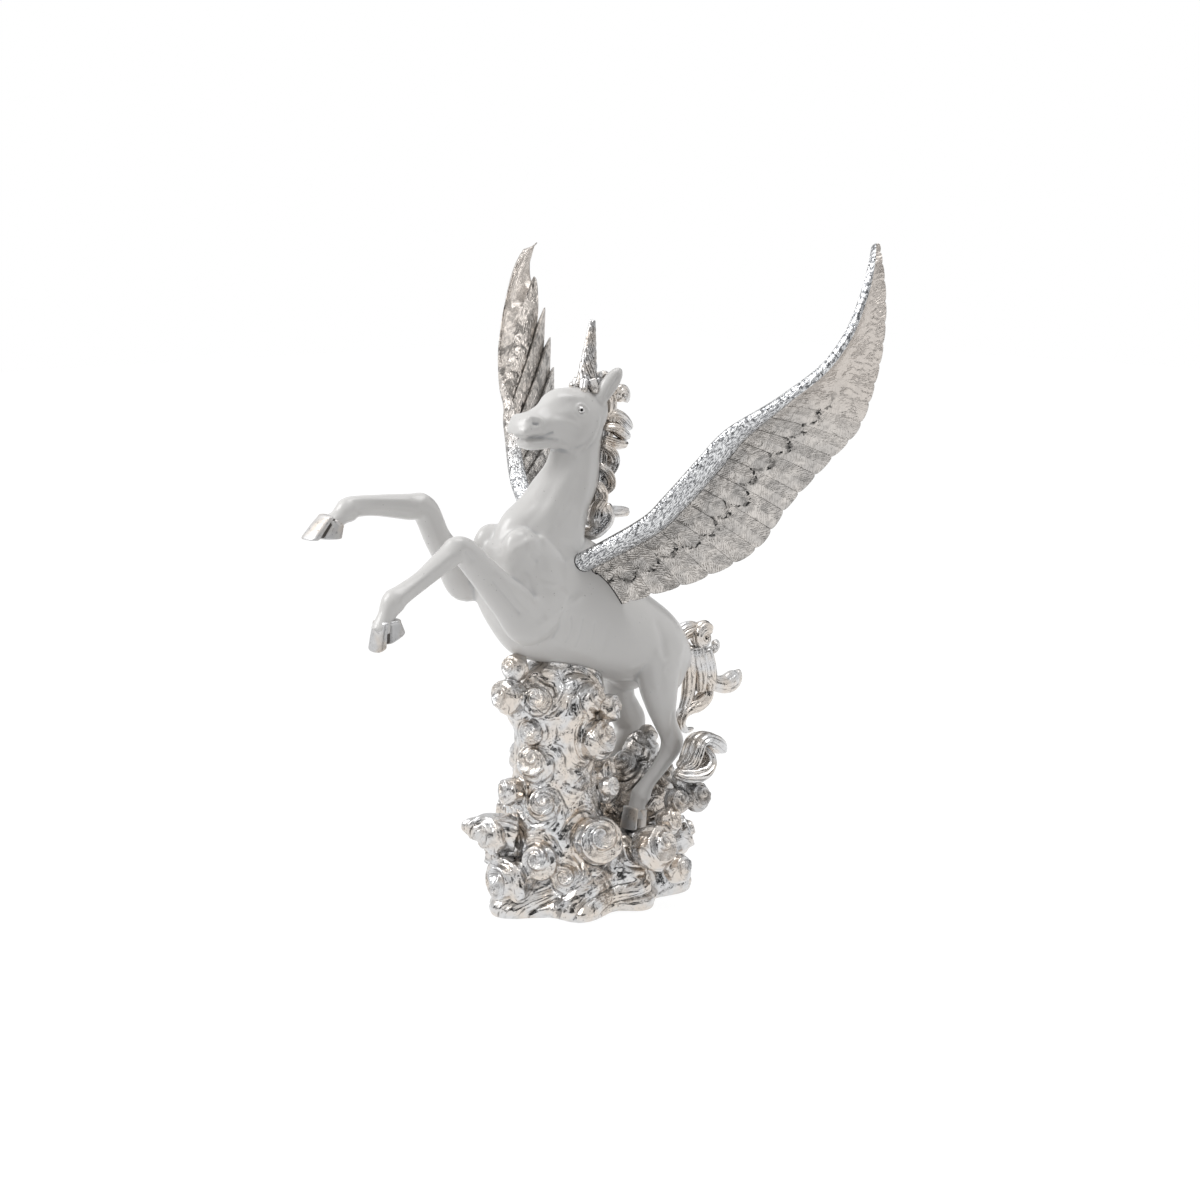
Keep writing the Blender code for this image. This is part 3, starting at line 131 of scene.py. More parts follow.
# Muscles, folds and features: side (0 both, 1 left, -1 right), height, width and the line on the skin
CARVING = [
    (0, 0.6, 2.6, [(11, -78, 219), (19, -74, 225), (19, -62, 228), (16, -52, 227)]),
    (0, -0.35, 2.0, [(8, -77, 221), (14, -78, 222), (18, -73, 227), (18, -63, 231)]),
    (0, 0.45, 3.4, [(16, -52, 227), (16, -41, 234), (15, -30, 241)]),
    (0, -0.4, 2.4, [(16, -41, 234), (15, -32, 243), (15, -25, 249), (13, -20, 258)]),
    (0, 0.4, 3.0, [(17, -53, 226), (17, -42, 223), (16, -29, 220)]),
    (0, -0.7, 2.4, [(22, -65, 219), (21, -61, 216)]),
    (0, 0.4, 3.6, [(18, -73, 212), (22, -69, 200), (27, -71, 194)]),
    (0, -0.3, 3.0, [(20, -69, 212), (21, -66, 205), (23, -65, 197)]),
    (1, 0.6, 2.4, [(23, -58, 200), (24, -47, 197), (23, -41, 193), (26, -47, 188), (28, -59, 184)]),
    (0, -0.3, 3.4, [(22, -59, 212), (23, -58, 206), (24, -51, 201)]),
    (1, 0.7, 2.2, [(23, -29, 191), (24, -40, 188), (27, -54, 184), (29, -65, 181)]),
    (1, -0.35, 2.4, [(23, -35, 191), (26, -47, 188), (28, -57, 185), (29, -65, 183)]),
    (0, -0.55, 2.0, [(23, -46, 181), (22, -45, 175), (20, -47, 169)]),
    (0, -0.55, 2.0, [(24, -36, 179), (22, -35, 172), (20, -37, 165)]),
    (0, -0.5, 2.0, [(24, -27, 177), (22, -28, 169), (19, -29, 161)]),
    (0, -0.45, 2.0, [(24, -18, 173), (23, -19, 165), (20, -21, 158)]),
    (0, -0.35, 2.2, [(24, -8, 169), (23, -9, 160), (20, -11, 153)]),
    (1, 0.5, 2.2, [(26, -95, 215), (27, -88, 207), (28, -81, 195), (29, -74, 189)]),
    (1, -0.7, 1.6, [(27, -98, 209), (28, -90, 200), (29, -80, 189)]),
    (0, -0.5, 2.6, [(8, -23, 269), (9, -31, 263), (9, -37, 256), (11, -47, 245), (11, -59, 236)]),
    (0, 0.4, 3.0, [(11, -29, 261), (11, -37, 252), (13, -45, 244)]),
    (0, 0.4, 3.4, [(12, -11, 271), (13, -14, 257), (14, -18, 243), (15, -23, 232)]),
    (0, 0.35, 1.8, [(4, -42, 301), (5, -32, 305), (7, -23, 307), (9, -20, 305)]),
    (0, -0.5, 3.2, [(8, -42, 297), (9, -33, 300), (10, -27, 302)]),
    (0, 0.5, 1.8, [(11, -36, 293), (12, -29, 291), (13.5, -23, 289)]),
    (0, -0.3, 1.6, [(10, -35, 296), (12, -30, 295), (13, -25, 293)]),
    (0, 0.45, 1.5, [(14, -5, 292), (14, -7, 286), (13, -11, 280), (12, -15, 276), (10, -21, 274.5),
                    (8, -27, 277),
                    (9, -32, 281)]),
    (0, -0.4, 1.5, [(13, -3, 291), (13, -5, 284), (12, -9, 278), (10, -15, 273.5), (7, -21, 272),
                    (5, -28, 275)]),
    (0, -2.6, 1.9, [(8.2, -50.6, 292.6), (8.8, -48.6, 292.2)]),
    (0, 1.0, 1.3, [(6, -54.4, 294), (6.6, -52, 296.2), (8.4, -48, 295.8), (9.4, -45.4, 292.8),
                   (9.2, -47, 289.8)]),
    (0, -1.4, 1.1, [(3, -58.6, 285), (7.4, -53, 284), (9, -46, 283.8), (9.6, -40.5, 285), (9.8, -38, 286)]),
    (0, 0.5, 1.4, [(6, -57, 287.4), (8.4, -50, 286.4), (9.4, -43, 286.8)]),
    (0, -0.5, 1.6, [(6, -57, 290.2), (9, -50, 289), (10, -42, 289.6)]),
    (0, -0.9, 4.2, [(12.4, -19, 298), (12.4, -17, 298)]),
    (0, 1.0, 0.9, [(12.2, -22, 297.6), (12.4, -20.6, 300.2), (12.0, -18, 301.4), (12.0, -15.4, 300.4),
                   (12.4, -13.6, 298)]),
    (0, 0.8, 0.9, [(12.6, -21.6, 296.6), (12.8, -19.6, 294.8), (12.8, -16.4, 294.9), (12.6, -14.2, 296.8)]),
    (0, 0.5, 1.8, [(9, -25, 305.5), (10.5, -19, 306), (10.5, -13, 305)]),
    (0, -1.5, 1.7, [(11.6, 2.0, 305), (12.8, 4.6, 310), (13.4, 9, 315)]),
    (0, 0.5, 2.6, [(20, 16, 141), (24, 25, 145), (24, 33, 149)]),
    (0, 0.6, 3.0, [(31, 36, 142), (25, 47, 144), (22, 56, 148)]),
    (0, -0.5, 2.4, [(31, 37, 138), (31, 46, 141)]),
    (0, -0.8, 4.0, [(21, 36, 165), (24, 38, 156), (25, 38, 146)]),
    (0, 0.6, 5.0, [(23, 50, 154), (24, 53, 144)]),
    (1, 0.5, 2.8, [(28, 28, 127), (30, 31, 115)]), (-1, 0.5, 2.8, [(-28, 34, 124), (-30, 38, 110)]),
    (1, 0.7, 2.6, [(29, 46, 93)]), (-1, 0.7, 2.6, [(-29, 60, 89)]),
    (1, -0.8, 1.7, [(30, 41, 110), (29, 41, 101), (28, 40, 92)]),
    (-1, -0.6, 1.7, [(-30, 55, 99), (-29, 53, 89), (-26, 47, 80)]),
    (1, 0.4, 1.4, [(28, 40, 82), (27, 29, 72)]), (1, -0.5, 1.2, [(27, 36, 83), (27, 25, 72)]),
    (-1, 0.4, 1.4, [(-28, 46, 74), (-27, 36, 56)]), (-1, -0.5, 1.2, [(-27, 42, 74), (-27, 33, 58)]),
    (1, 0.5, 2.0, [(26, 17, 63), (29, 20, 60)]), (-1, 0.5, 2.0, [(-26, 27, 47), (-29, 30, 44)]),
    (1, 0.4, 1.6, [(25, -127, 227), (24, -144, 217), (26, -160, 209)]),
    (1, -0.4, 1.4, [(26, -128, 222), (25, -144, 213), (26, -158, 205)]),
    (1, 0.7, 2.4, [(21, -122, 234), (23, -118, 234)]), (1, -0.8, 1.8, [(27, -117, 228), (27, -113, 223)]),
    (-1, 0.5, 1.6, [(-17, -160, 257), (-16, -142, 255), (-15, -123, 253)]),
    (-1, -0.5, 1.5, [(-14, -161, 250), (-16, -143, 248), (-15, -123, 245)]),
    (-1, 0.7, 2.4, [(-14, -115, 251), (-17, -111, 253)]),
    (1, -0.5, 2.4, [(-1, -77, 181), (4, -72, 173), (9, -65, 167)]),
]


def curve(rows, steps):
    """Spline through rows, column by column: each span is the Catmull-Rom cubic of its four neighbours."""
    rows = np.asarray(rows, float)
    rows = np.vstack([2 * rows[0] - rows[1], rows, 2 * rows[-1] - rows[-2]])
    t = (np.arange(steps) / steps)[None, :, None]
    a, b, c, d = (rows[k:len(rows) - 3 + k, None, :] for k in range(4))
    spans = 0.5 * (2 * b + (c - a) * t + (2 * a - 5 * b + 4 * c - d) * t**2 + (3 * b - a - 3 * c + d) * t**3)
    return np.vstack([spans.reshape(-1, rows.shape[1]), rows[-2]])


def unit(vectors):
    """Vectors of length one: each is divided by its length along the last axis."""
    return vectors / np.maximum(np.linalg.norm(vectors, axis=-1, keepdims=True), 1e-9)


def clamp(values):
    """Values kept from 0 to 1."""
    return np.clip(values, 0, 1)


def bell(values, width):
    """Height of a bell of 1 at 0: exp(-(value / width)^2)."""
    return np.exp(-(values / width) ** 2)


def angles(sides):
    """Angles of a ring's points, as a row."""
    return np.linspace(0, 2 * math.pi, sides, endpoint=False)[None, :]


def tube(grid, **marks):
    """Closed shell through rings of points: quads from ring to ring, and a fan to a pole, the end ring's mean.

    A mark is a number or vector for every grid point; a pole takes its ring's mean. The volume's sign
    turns the faces outwards.
    """
    rows, sides = grid.shape[:2]

    def poled(field):
        """The field and its two poles, the means of the end rings."""
        field = np.asarray(field, float).reshape(rows, sides, -1)
        return np.concatenate([field.reshape(rows * sides, -1), field[:1].mean(1), field[-1:].mean(1)])

    i, j = np.meshgrid(np.arange(rows - 1), np.arange(sides), indexing="ij")
    k = (j + 1) % sides
    quads = np.stack([i * sides + j, i * sides + k, (i + 1) * sides + k, (i + 1) * sides + j],
                     -1).reshape(-1, 4)
    j, last = np.arange(sides), (rows - 1) * sides
    k = (j + 1) % sides
    fans = np.concatenate([np.stack([0 * j + rows * sides, k, j], 1),
                           np.stack([0 * j + rows * sides + 1, last + j, last + k], 1)])
    points = poled(grid)
    corners = points[np.concatenate([quads[:, :3], quads[:, [0, 2, 3]], fans])]
    if (np.cross(corners[:, 0], corners[:, 1]) * corners[:, 2]).sum() < 0:
        quads, fans = quads[:, ::-1], fans[:, ::-1]
    return points, quads, fans, {name: poled(field) for name, field in marks.items()}


def write_mark(mesh, name, values):
    """Store a number or vector for every point of a mesh, for its material to read."""
    kind, slot = ("FLOAT", "value") if values.shape[1] == 1 else ("FLOAT_VECTOR", "vector")
    layer = mesh.attributes.new(name, kind, "POINT")
    layer.data.foreach_set(slot, values.astype(np.float32).ravel())


def join(name, shells):
    """Object of one or more closed shells, with their marks."""
    faces, start = [], 0
    for points, quads, fans, _ in shells:
        faces += (quads + start).tolist() + (fans + start).tolist()
        start += len(points)
    mesh = bpy.data.meshes.new(name)
    mesh.from_pydata((np.concatenate([shell[0] for shell in shells]) * MM).tolist(), [], faces)
    for mark in shells[0][3]:
        write_mark(mesh, mark, np.concatenate([shell[3][mark] for shell in shells]))
    mesh.shade_smooth()
    return add(name, mesh)


def read_points(mesh):
    """A mesh's points and their normals as arrays, the points in millimetres."""
    points, normals = np.empty(3 * len(mesh.vertices)), np.empty(3 * len(mesh.vertices))
    mesh.vertices.foreach_get("co", points)
    mesh.vertices.foreach_get("normal", normals)
    return points.reshape(-1, 3) / MM, normals.reshape(-1, 3)


def write_points(mesh, points):
    """Put points in millimetres into a mesh."""
    mesh.vertices.foreach_set("co", (points * MM).astype(np.float32).ravel())
    mesh.update()


def fuse(name, shells, voxel, soften):
    """One skin round overlapping shells: a voxel remesh, then rounds of smoothing."""
    thing = join(name, [shell[:3] + ({},) for shell in shells])
    remesh = thing.modifiers.new("skin", "REMESH")
    remesh.mode, remesh.voxel_size = "VOXEL", voxel * MM
    smooth = thing.modifiers.new("soften", "SMOOTH")
    smooth.factor, smooth.iterations = 0.5, soften
    graph = bpy.context.evaluated_depsgraph_get()
    mesh = bpy.data.meshes.new_from_object(thing.evaluated_get(graph))
    thing.modifiers.clear()
    thing.data = mesh
    mesh.shade_smooth()
    return thing


def relaxed(mesh, field, rounds):
    """A field after rounds of mixing it half and half with the mean over each point's edges."""
    ends = np.empty(2 * len(mesh.edges), np.int32)
    mesh.edges.foreach_get("vertices", ends)
    a, b, count = ends[::2], ends[1::2], len(mesh.vertices)
    links = np.maximum(np.bincount(a, minlength=count) + np.bincount(b, minlength=count), 1)
    for _ in range(rounds):
        sums = [np.bincount(a, column[b], count) + np.bincount(b, column[a], count) for column in field.T]
        field = 0.5 * (field + np.stack(sums, 1) / links[:, None])
    return field


def mark_hollows(thing, rounds):
    """Mark how deep each point lies below its smoothed surroundings, in millimetres; ridges are negative."""
    points, normals = read_points(thing.data)
    depth = ((relaxed(thing.data, points, rounds) - points) * normals).sum(1, keepdims=True)
    write_mark(thing.data, "hollow", depth)


def side_rings(rows, steps, sides, taper, width):
    """Rings of a body drawn in side view: rows are top y, z, bottom y, z and a share of the half width.

    A ring's point is middle + rise cos(a) + half width sin(a) (1 - taper cos(a)) across, an egg.
    """
    rows, a = curve(rows, steps)[:, None, :], angles(sides)
    y = (rows[..., 0] + rows[..., 2]) / 2 + (rows[..., 0] - rows[..., 2]) / 2 * np.cos(a)
    z = (rows[..., 1] + rows[..., 3]) / 2 + (rows[..., 1] - rows[..., 3]) / 2 * np.cos(a)
    x = rows[..., 4] * width * np.sin(a) * (1 - taper * np.cos(a))
    return np.stack([x, y, z], -1)


def limb_rings(rows, steps, sides, profile=1.0):
    """Ovals square to a spline: rows are x, y, z, half width across and half depth in side view.

    A point is the path + across width cos(a) profile + deep depth sin(a) profile.
    """
    rows, a = curve(rows, steps), angles(sides)[..., None]
    heading = unit(np.gradient(rows[:, :3], axis=0))
    across = unit(np.array([1.0, 0, 0]) - heading * heading[:, :1])
    deep = np.cross(heading, across)
    profile = np.broadcast_to(profile, (len(rows), sides))[..., None]
    return rows[:, None, :3] + profile * (across[:, None] * rows[:, None, 3:4] * np.cos(a)
                                          + deep[:, None] * rows[:, None, 4:5] * np.sin(a))


def ball_rings(centre, radii, tilt=0.0, rows=24, sides=40):
    """Ellipsoid tilted in side view: centre + turned radii (sin v cos a, sin v sin a, cos v)."""
    a, near_pole = angles(sides), 0.04
    v = np.linspace(near_pole, math.pi - near_pole, rows)[:, None]
    x, y = radii[0] * np.sin(v) * np.cos(a), radii[1] * np.sin(v) * np.sin(a)
    z = radii[2] * np.cos(v) + 0 * a
    c, s = math.cos(math.radians(tilt)), math.sin(math.radians(tilt))
    return np.stack([x, c * y - s * z, s * y + c * z], -1) + np.array(centre)


def stroke(points, line, width):
    """Bell of the distance to the nearest straight span of a line, where x counts only 0.6 of y and z."""
    flat = np.array([0.6, 1, 1])
    points, line = points * flat, np.asarray(line, float) * flat
    height = np.zeros(len(points))
    near = ((points > line.min(0) - 3 * width) & (points < line.max(0) + 3 * width)).all(1)
    line = curve(line, 4) if len(line) > 1 else np.repeat(line, 2, 0)
    local, nearest = points[near], np.full(near.sum(), 1e9)
    for a, b in zip(line, line[1:]):
        run = clamp((local - a) @ (b - a) / max((b - a) @ (b - a), 1e-9))
        nearest = np.minimum(nearest, np.linalg.norm(local - a - run[:, None] * (b - a), axis=1))
    height[near] = bell(nearest, width)
    return height


mirrored = np.array([-1.0, 1, 1])
bodies = [side_rings(TRUNK, 8, 96, 0.1, BARREL), side_rings(CREST, 8, 80, 0.0, NECK),
          side_rings(SKULL, 6, 72, 0.12, HEAD), side_rings(JAW, 6, 48, 0.0, HEAD)]
for middle, radii, tilt in SWELLS:
    swell = ball_rings(middle, radii, tilt)
    bodies += [swell, swell * mirrored]
ear = limb_rings(EAR, 8, 32)
bodies += [ear, ear * mirrored] + [limb_rings(rows, 8, 48) for rows in LEGS]
horse = fuse("white_horse", [tube(rings) for rings in bodies], SKIN_VOXEL, 8)
skin, _ = read_points(horse.data)
rubbed = sum(bell(((skin - middle) ** 2).sum(1, keepdims=True), reach**2) for middle, reach in RUBBED)
skin = skin + clamp(rubbed) * (relaxed(horse.data, skin, 70) - skin)
write_points(horse.data, skin)
skin, skin_normals = read_points(horse.data)
folded = np.abs(skin) * [1, 0, 0] + skin * [0, 1, 1]
lift = np.zeros(len(skin))
for side, height, width, line in CARVING:
    lift += height * (stroke(skin, line, width) if side else stroke(folded, line, width))
write_points(horse.data, skin + skin_normals * lift[:, None])
mark_hollows(horse, 24)
skin, skin_normals = read_points(horse.data)


class Value:
    """A shader socket to write expressions with: each sign adds a Math node, and node adds any other."""

    def __init__(self, tree, socket):
        self.tree, self.socket = tree, socket

    def node(self, kind, settings, inputs, output=0):
        """A node of a kind: its settings first, then its inputs' values or links."""
        made = self.tree.nodes.new(kind)
        for name, setting in settings.items():
            setattr(made, name, setting)
        for name, given in inputs.items():
            if isinstance(given, Value):
                self.tree.links.new(given.socket, made.inputs[name])
            else:
                made.inputs[name].default_value = given
        return Value(self.tree, made.outputs[output])

    def sign(self, operation, other, turned=False):
        """Math node on this value and another, the other way round where turned."""
        first, second = (other, self) if turned else (self, other)
        return self.node("ShaderNodeMath", {"operation": operation}, {0: first, 1: second})

    def __add__(self, other):
        return self.sign("ADD", other)

    def __radd__(self, other):
        return self.sign("ADD", other, True)

    def __sub__(self, other):
        return self.sign("SUBTRACT", other)

    def __rsub__(self, other):
        return self.sign("SUBTRACT", other, True)

    def __mul__(self, other):
        return self.sign("MULTIPLY", other)

    def __rmul__(self, other):
        return self.sign("MULTIPLY", other, True)

    def __truediv__(self, other):
        return self.sign("DIVIDE", other)

    def rise(self, low, high):
        """Smooth step from 0 at low to 1 at high."""
        return self.node("ShaderNodeMapRange", {"interpolation_type": "SMOOTHSTEP"},
                         {"Value": self, "From Min": low, "From Max": high})

    def wave(self, length):
        """Sine of this value, one wave for each given length."""
        turned = self * (2 * math.pi / length)
        return turned.node("ShaderNodeMath", {"operation": "SINE"}, {0: turned})

    def noise(self, scale, detail=2.0, rough=0.5):
        """Noise over this vector, from 0 to 1, with so many lumps in a unit."""
        return self.node("ShaderNodeTexNoise", {}, {"Vector": self, "Scale": scale, "Detail": detail,
                                                    "Roughness": rough})

    def tint(self, low, high):
        """Colour between low, where this is 0, and high, where it is 1."""
        low, high = (given if isinstance(given, Value) else (*given, 1.0) for given in (low, high))
        return self.node("ShaderNodeMix", {"data_type": "RGBA"}, {0: self, 6: low, 7: high}, 2)

    def bump(self, depth, strength=1.0, under=None):
        """Normal of a relief of this height, depth metres deep, on top of another normal."""
        return self.node("ShaderNodeBump", {}, {"Height": self, "Distance": depth, "Strength": strength,
                                                **({"Normal": under} if under else {})})


def new_look(name, fixed):
    """Material of one Principled shader whose fixed sockets are set, and the point in the object's metres."""
    look = bpy.data.materials.new(name)
    look.use_nodes = True
    for socket, value in fixed.items():
        look.node_tree.nodes["Principled BSDF"].inputs[socket].default_value = value
    return look, Value(look.node_tree, None).node("ShaderNodeTexCoord", {}, {}, "Object")


def feed(look, **links):
    """Link values to sockets of a material's shader, named with underscores for spaces."""
    for socket, value in links.items():
        shader = look.node_tree.nodes["Principled BSDF"]
        look.node_tree.links.new(value.socket, shader.inputs[socket.replace("_", " ")])


def mark(here, name, output="Fac"):
    """A mark of the mesh as a value, or as a vector, in the material that a value belongs to."""
    return here.node("ShaderNodeAttribute", {"attribute_name": name}, {}, output)


def dress(thing, look, slot, *nodes):
    """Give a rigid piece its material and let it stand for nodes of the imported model."""
    thing.data.materials.append(look)
    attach(thing, "root")
    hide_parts(*nodes)


lacquer, here = new_look("white lacquer", {"Coat Weight": 0.35, "Coat Roughness": 0.18, "IOR": 1.5})
cloudy = here.noise(45, 2)
# Painted shade: the white turns grey in the creases, by how deep each point lies below its surroundings.
crease_shade = mark(here, "hollow").rise(0.06, 0.7)
speck = here.noise(620, 1).rise(0.745, 0.76) * here.noise(60, 1).rise(0.5, 0.6)
white = (crease_shade * 0.7).tint(cloudy.tint((0.69, 0.68, 0.668), (0.72, 0.708, 0.692)), (0.38, 0.39, 0.41))
feed(lacquer, Base_Color=(speck * 0.6).tint(white, (0.3, 0.29, 0.28)),
     Roughness=here.noise(160, 2) * 0.1 + 0.27,
     Normal=(here.noise(420, 3) * 0.5 + here.noise(90, 2)).bump(0.0005, 0.12))
dress(horse, lacquer, "white_resin",
      "torso", "head", "foreleg_left", "foreleg_right", "hind_leg_left", "hind_leg_right")


# Hooves: small resin castings, silver plated by vacuum and pegged under each fetlock. A cut divides the smooth
# toe plate from the heel, its core painted dark as the shade inside, and a soft band stands out round the hoof
# head.
HOOF_WIDTH, HOOF_HEAD_WIDTH, HOOF_HEAD_DEPTH, SOLE_FLARE = 6.6, 0.86, 6.4, 0.14
CUT_SQUARENESS, HOOF_SQUARENESS = 0.35, 0.9
# Toe plate, heel and the core in the cut: front, back, width and sole as shares of the hoof's
HOOF_SHELLS = [(1.0, 0.46, 1.0, 1.0), (0.36, -1.0, 0.96, 0.97), (0.85, -0.8, 0.8, 0.9)]
# x, the fetlock's y and z, and from it the steps to the top's middle, the toe and the heel
HOOVES = {
    "hoof_fore_left": (20, (-162, 206), (-4, -9.7), (-14.5, -26.4), (6, -17.6)),
    "hoof_fore_right": (-20, (-161, 251), (-10.5, -4.4), (-29.6, -13.6), (-6.8, -15.4)),
    "hoof_hind_left": (23, (20.5, 61), (-3.5, -6.5), (-12.5, -18.5), (1.5, -19)),
    "hoof_hind_right": (-23, (33, 46), (-3, -8), (-9, -21), (6, -22)),
}


def hoof_shell(x, fetlock, top, toe, heel, front, back, wide, low):
    """Rings from the hoof head b = 0 to the sole b = low, between the shares back and front of its depth.

    A ring is a superellipse |cos|^0.9, |sin|^0.9, with |cos|^0.35 where it faces the cut. Its middle runs from
    the top to the sole, its depth from the head's to half the sole's length, and its width from 0.86 to 1. The
    edges are rounded at both ends.
    """
    fetlock = np.array(fetlock, float)
    top, toe, heel = (fetlock + np.array(step, float) for step in (top, toe, heel))
    down, fore = unit(top - fetlock), unit(toe - heel)
    flat = np.array([-down[1], down[0]])
    flat = flat if flat @ fore > 0 else -flat
    s = np.concatenate([[0, 0.004], np.linspace(0.015, 0.985, 34), [0.996, 1.0]])[:, None]
    b = s * low
    a = np.linspace(-math.pi, math.pi, 72, endpoint=False)[None, :]
    middle = top + ((toe + heel) / 2 - top) * b
    heading = unit(flat * (1 - b) + fore * (1 + b))
    edge = 1 - 0.35 * clamp(1 - s / 0.06) ** 2 - 0.16 * clamp((s - 0.93) / 0.07) ** 2
    edge = edge + 0.05 * bell(s - 0.1, 0.05)
    cut_front, cut_back = (CUT_SQUARENESS if cut else HOOF_SQUARENESS for cut in (front < 0.6, back > -0.6))
    power = np.where(np.cos(a) > 0, cut_front, cut_back)
    cosine = np.sign(np.cos(a)) * np.abs(np.cos(a)) ** power
    sine = np.sign(np.sin(a)) * np.abs(np.sin(a)) ** HOOF_SQUARENESS
    depth = HOOF_HEAD_DEPTH * (1 - b) + np.linalg.norm(toe - heel) / 2 * b
    run = depth * ((front + back) / 2 + (front - back) / 2 * edge * cosine)
    side = x + wide * HOOF_WIDTH * (HOOF_HEAD_WIDTH + SOLE_FLARE * b) * edge * sine
    return tube(np.stack([side, middle[:, :1] + heading[:, :1] * run, middle[:, 1:] + heading[:, 1:] * run],
                         -1))


def plated(name, dark_from, dark_to, streaks=None, crinkle=1.0, tone=1.0, satin=0.0):
    """Silver plating: bright metal, mottled and crinkled, with tarnish and painted shade in its hollows and a
    few black specks.

    The tarnish and painted shade rise between two depths of the hollow mark, in millimetres. Streaks is the
    name of a vector mark that noise is drawn along, as fine lines in hair and cloud. Crinkle is the share of
    mottling, specks and fine relief, tone that of brightness, and satin is added to the roughness.
    """
    look, here = new_look(name, {"Metallic": 1.0})
    mottle, broad = here.noise(300, 3), here.noise(70, 2)
    crease_shade = mark(here, "hollow").rise(dark_from, dark_to)
    cold, warm = np.array([0.66, 0.66, 0.665]) * tone, np.array([0.70, 0.64, 0.58]) * tone
    silver = broad.rise(0.35, 0.65).tint(cold.tolist(), warm.tolist())
    silver = (mottle.rise(0.5, 0.66) * 0.4 * crinkle).tint(silver, (0.36, 0.35, 0.34))
    # Painted shade and tarnish: the hollows darken nearly to black.
    silver = (crease_shade * 0.92).tint(silver, (0.06, 0.052, 0.045))
    speck = here.noise(760, 2).rise(0.62, 0.66) * here.noise(120, 1).rise(0.48, 0.55) * crinkle
    relief = (here.noise(1000, 2) * 0.3 + here.noise(300, 2)).bump(0.0010, 0.5 * crinkle)
    if streaks:
        lines = mark(here, streaks, "Vector").noise(1.0, 3)
        silver = (lines.rise(0.58, 0.70) * 0.7).tint(silver, (0.16, 0.15, 0.14))
        relief = lines.bump(0.0007, 0.6, relief)
    feed(look, Base_Color=(speck * 0.9).tint(silver, (0.03, 0.03, 0.03)),
         Roughness=mottle * 0.12 + here.noise(900, 2) * 0.06 + (0.06 + satin), Normal=relief)
    return look


hoof_silver = plated("hoof silver", 0.2, 0.6, None, 0.45, 0.88, 0.34)
for node, places in HOOVES.items():
    shells = [hoof_shell(*places, *shares) for shares in HOOF_SHELLS]
    # The core in the cut is marked fully hollow, so that its silver is painted dark as shade.
    hollows = [{"hollow": np.full((len(shell[0]), 1), dark)} for shell, dark in zip(shells, (0.0, 0.0, 1.0))]
    hoof = join(node + "_plate", [shell[:3] + (hollow,) for shell, hollow in zip(shells, hollows)])
    dress(hoof, hoof_silver, "plated_resin", node)


# Eyes: plated cabochons of cast resin, pressed into sockets in the head. Each has a drilled dark pupil, and
# round it a darker ring is painted as the shade of a fine groove.
EYE_PLACE, EYE_RADII, EYE_GAZE = np.array([11.3, -18.0, 298.0]), (2.75, 3.0,
                                                                  2.5), np.array([0.93, -0.34, 0.1])
PUPIL_RADIUS, PUPIL_DEPTH, GROOVE_SHADE_RADIUS, GROOVE_SHADE_WIDTH = 0.95, 0.5, 1.7, 0.25
for node, hand in (("eye_left", np.array([1.0, 1, 1])), ("eye_right", mirrored)):
    ball, gaze = ball_rings(EYE_PLACE * hand, EYE_RADII, 0, 36, 48), unit(EYE_GAZE * hand)
    from_middle = ball - EYE_PLACE * hand
    spread = np.linalg.norm(np.cross(from_middle, gaze), axis=-1)
    facing = from_middle @ gaze > 0
    pupil = bell(spread**2, PUPIL_RADIUS**2) * facing
    # A ring round the pupil for painted shade of a fine groove that the ball doesn't have.
    groove_shade = bell(spread - GROOVE_SHADE_RADIUS, GROOVE_SHADE_WIDTH) * facing
    eye = join(node + "_cabochon", [tube(ball - gaze * PUPIL_DEPTH * pupil[..., None], pupil=pupil,
                                         rim=groove_shade)])
    look, here = new_look(node + " silver", {"Metallic": 1.0})
    shine = here.noise(300, 2).tint((0.72, 0.71, 0.70), (0.80, 0.79, 0.78))
    # Painted shade: the ring round the pupil is darkened.
    shine = (mark(here, "rim") * 0.45).tint(shine, (0.25, 0.24, 0.24))
    feed(look, Base_Color=mark(here, "pupil").rise(0.2, 0.6).tint(shine, (0.015, 0.015, 0.015)),
         Roughness=here.noise(800, 2) * 0.15 + 0.06)
    dress(eye, look, "plated_resin", node)


# Horn: a resin casting, silver plated, and held to the brow by a steel pin. It is a rope of eight strands
# that tapers to a blunt tip.
HORN_LENGTH, HORN_BASE, HORN_TIP = 40.0, 6.2, 1.6
HORN_STRANDS, HORN_TURNS, HORN_ROWS = 8, 0.72, 150
HORN_FOOT, HORN_LEAN = np.array([0, -2.8, 309.0]), math.radians(7.4)
horn_axis = np.array([0, math.sin(HORN_LEAN), math.cos(HORN_LEAN)])
horn_deep = np.cross(horn_axis, [1.0, 0, 0])


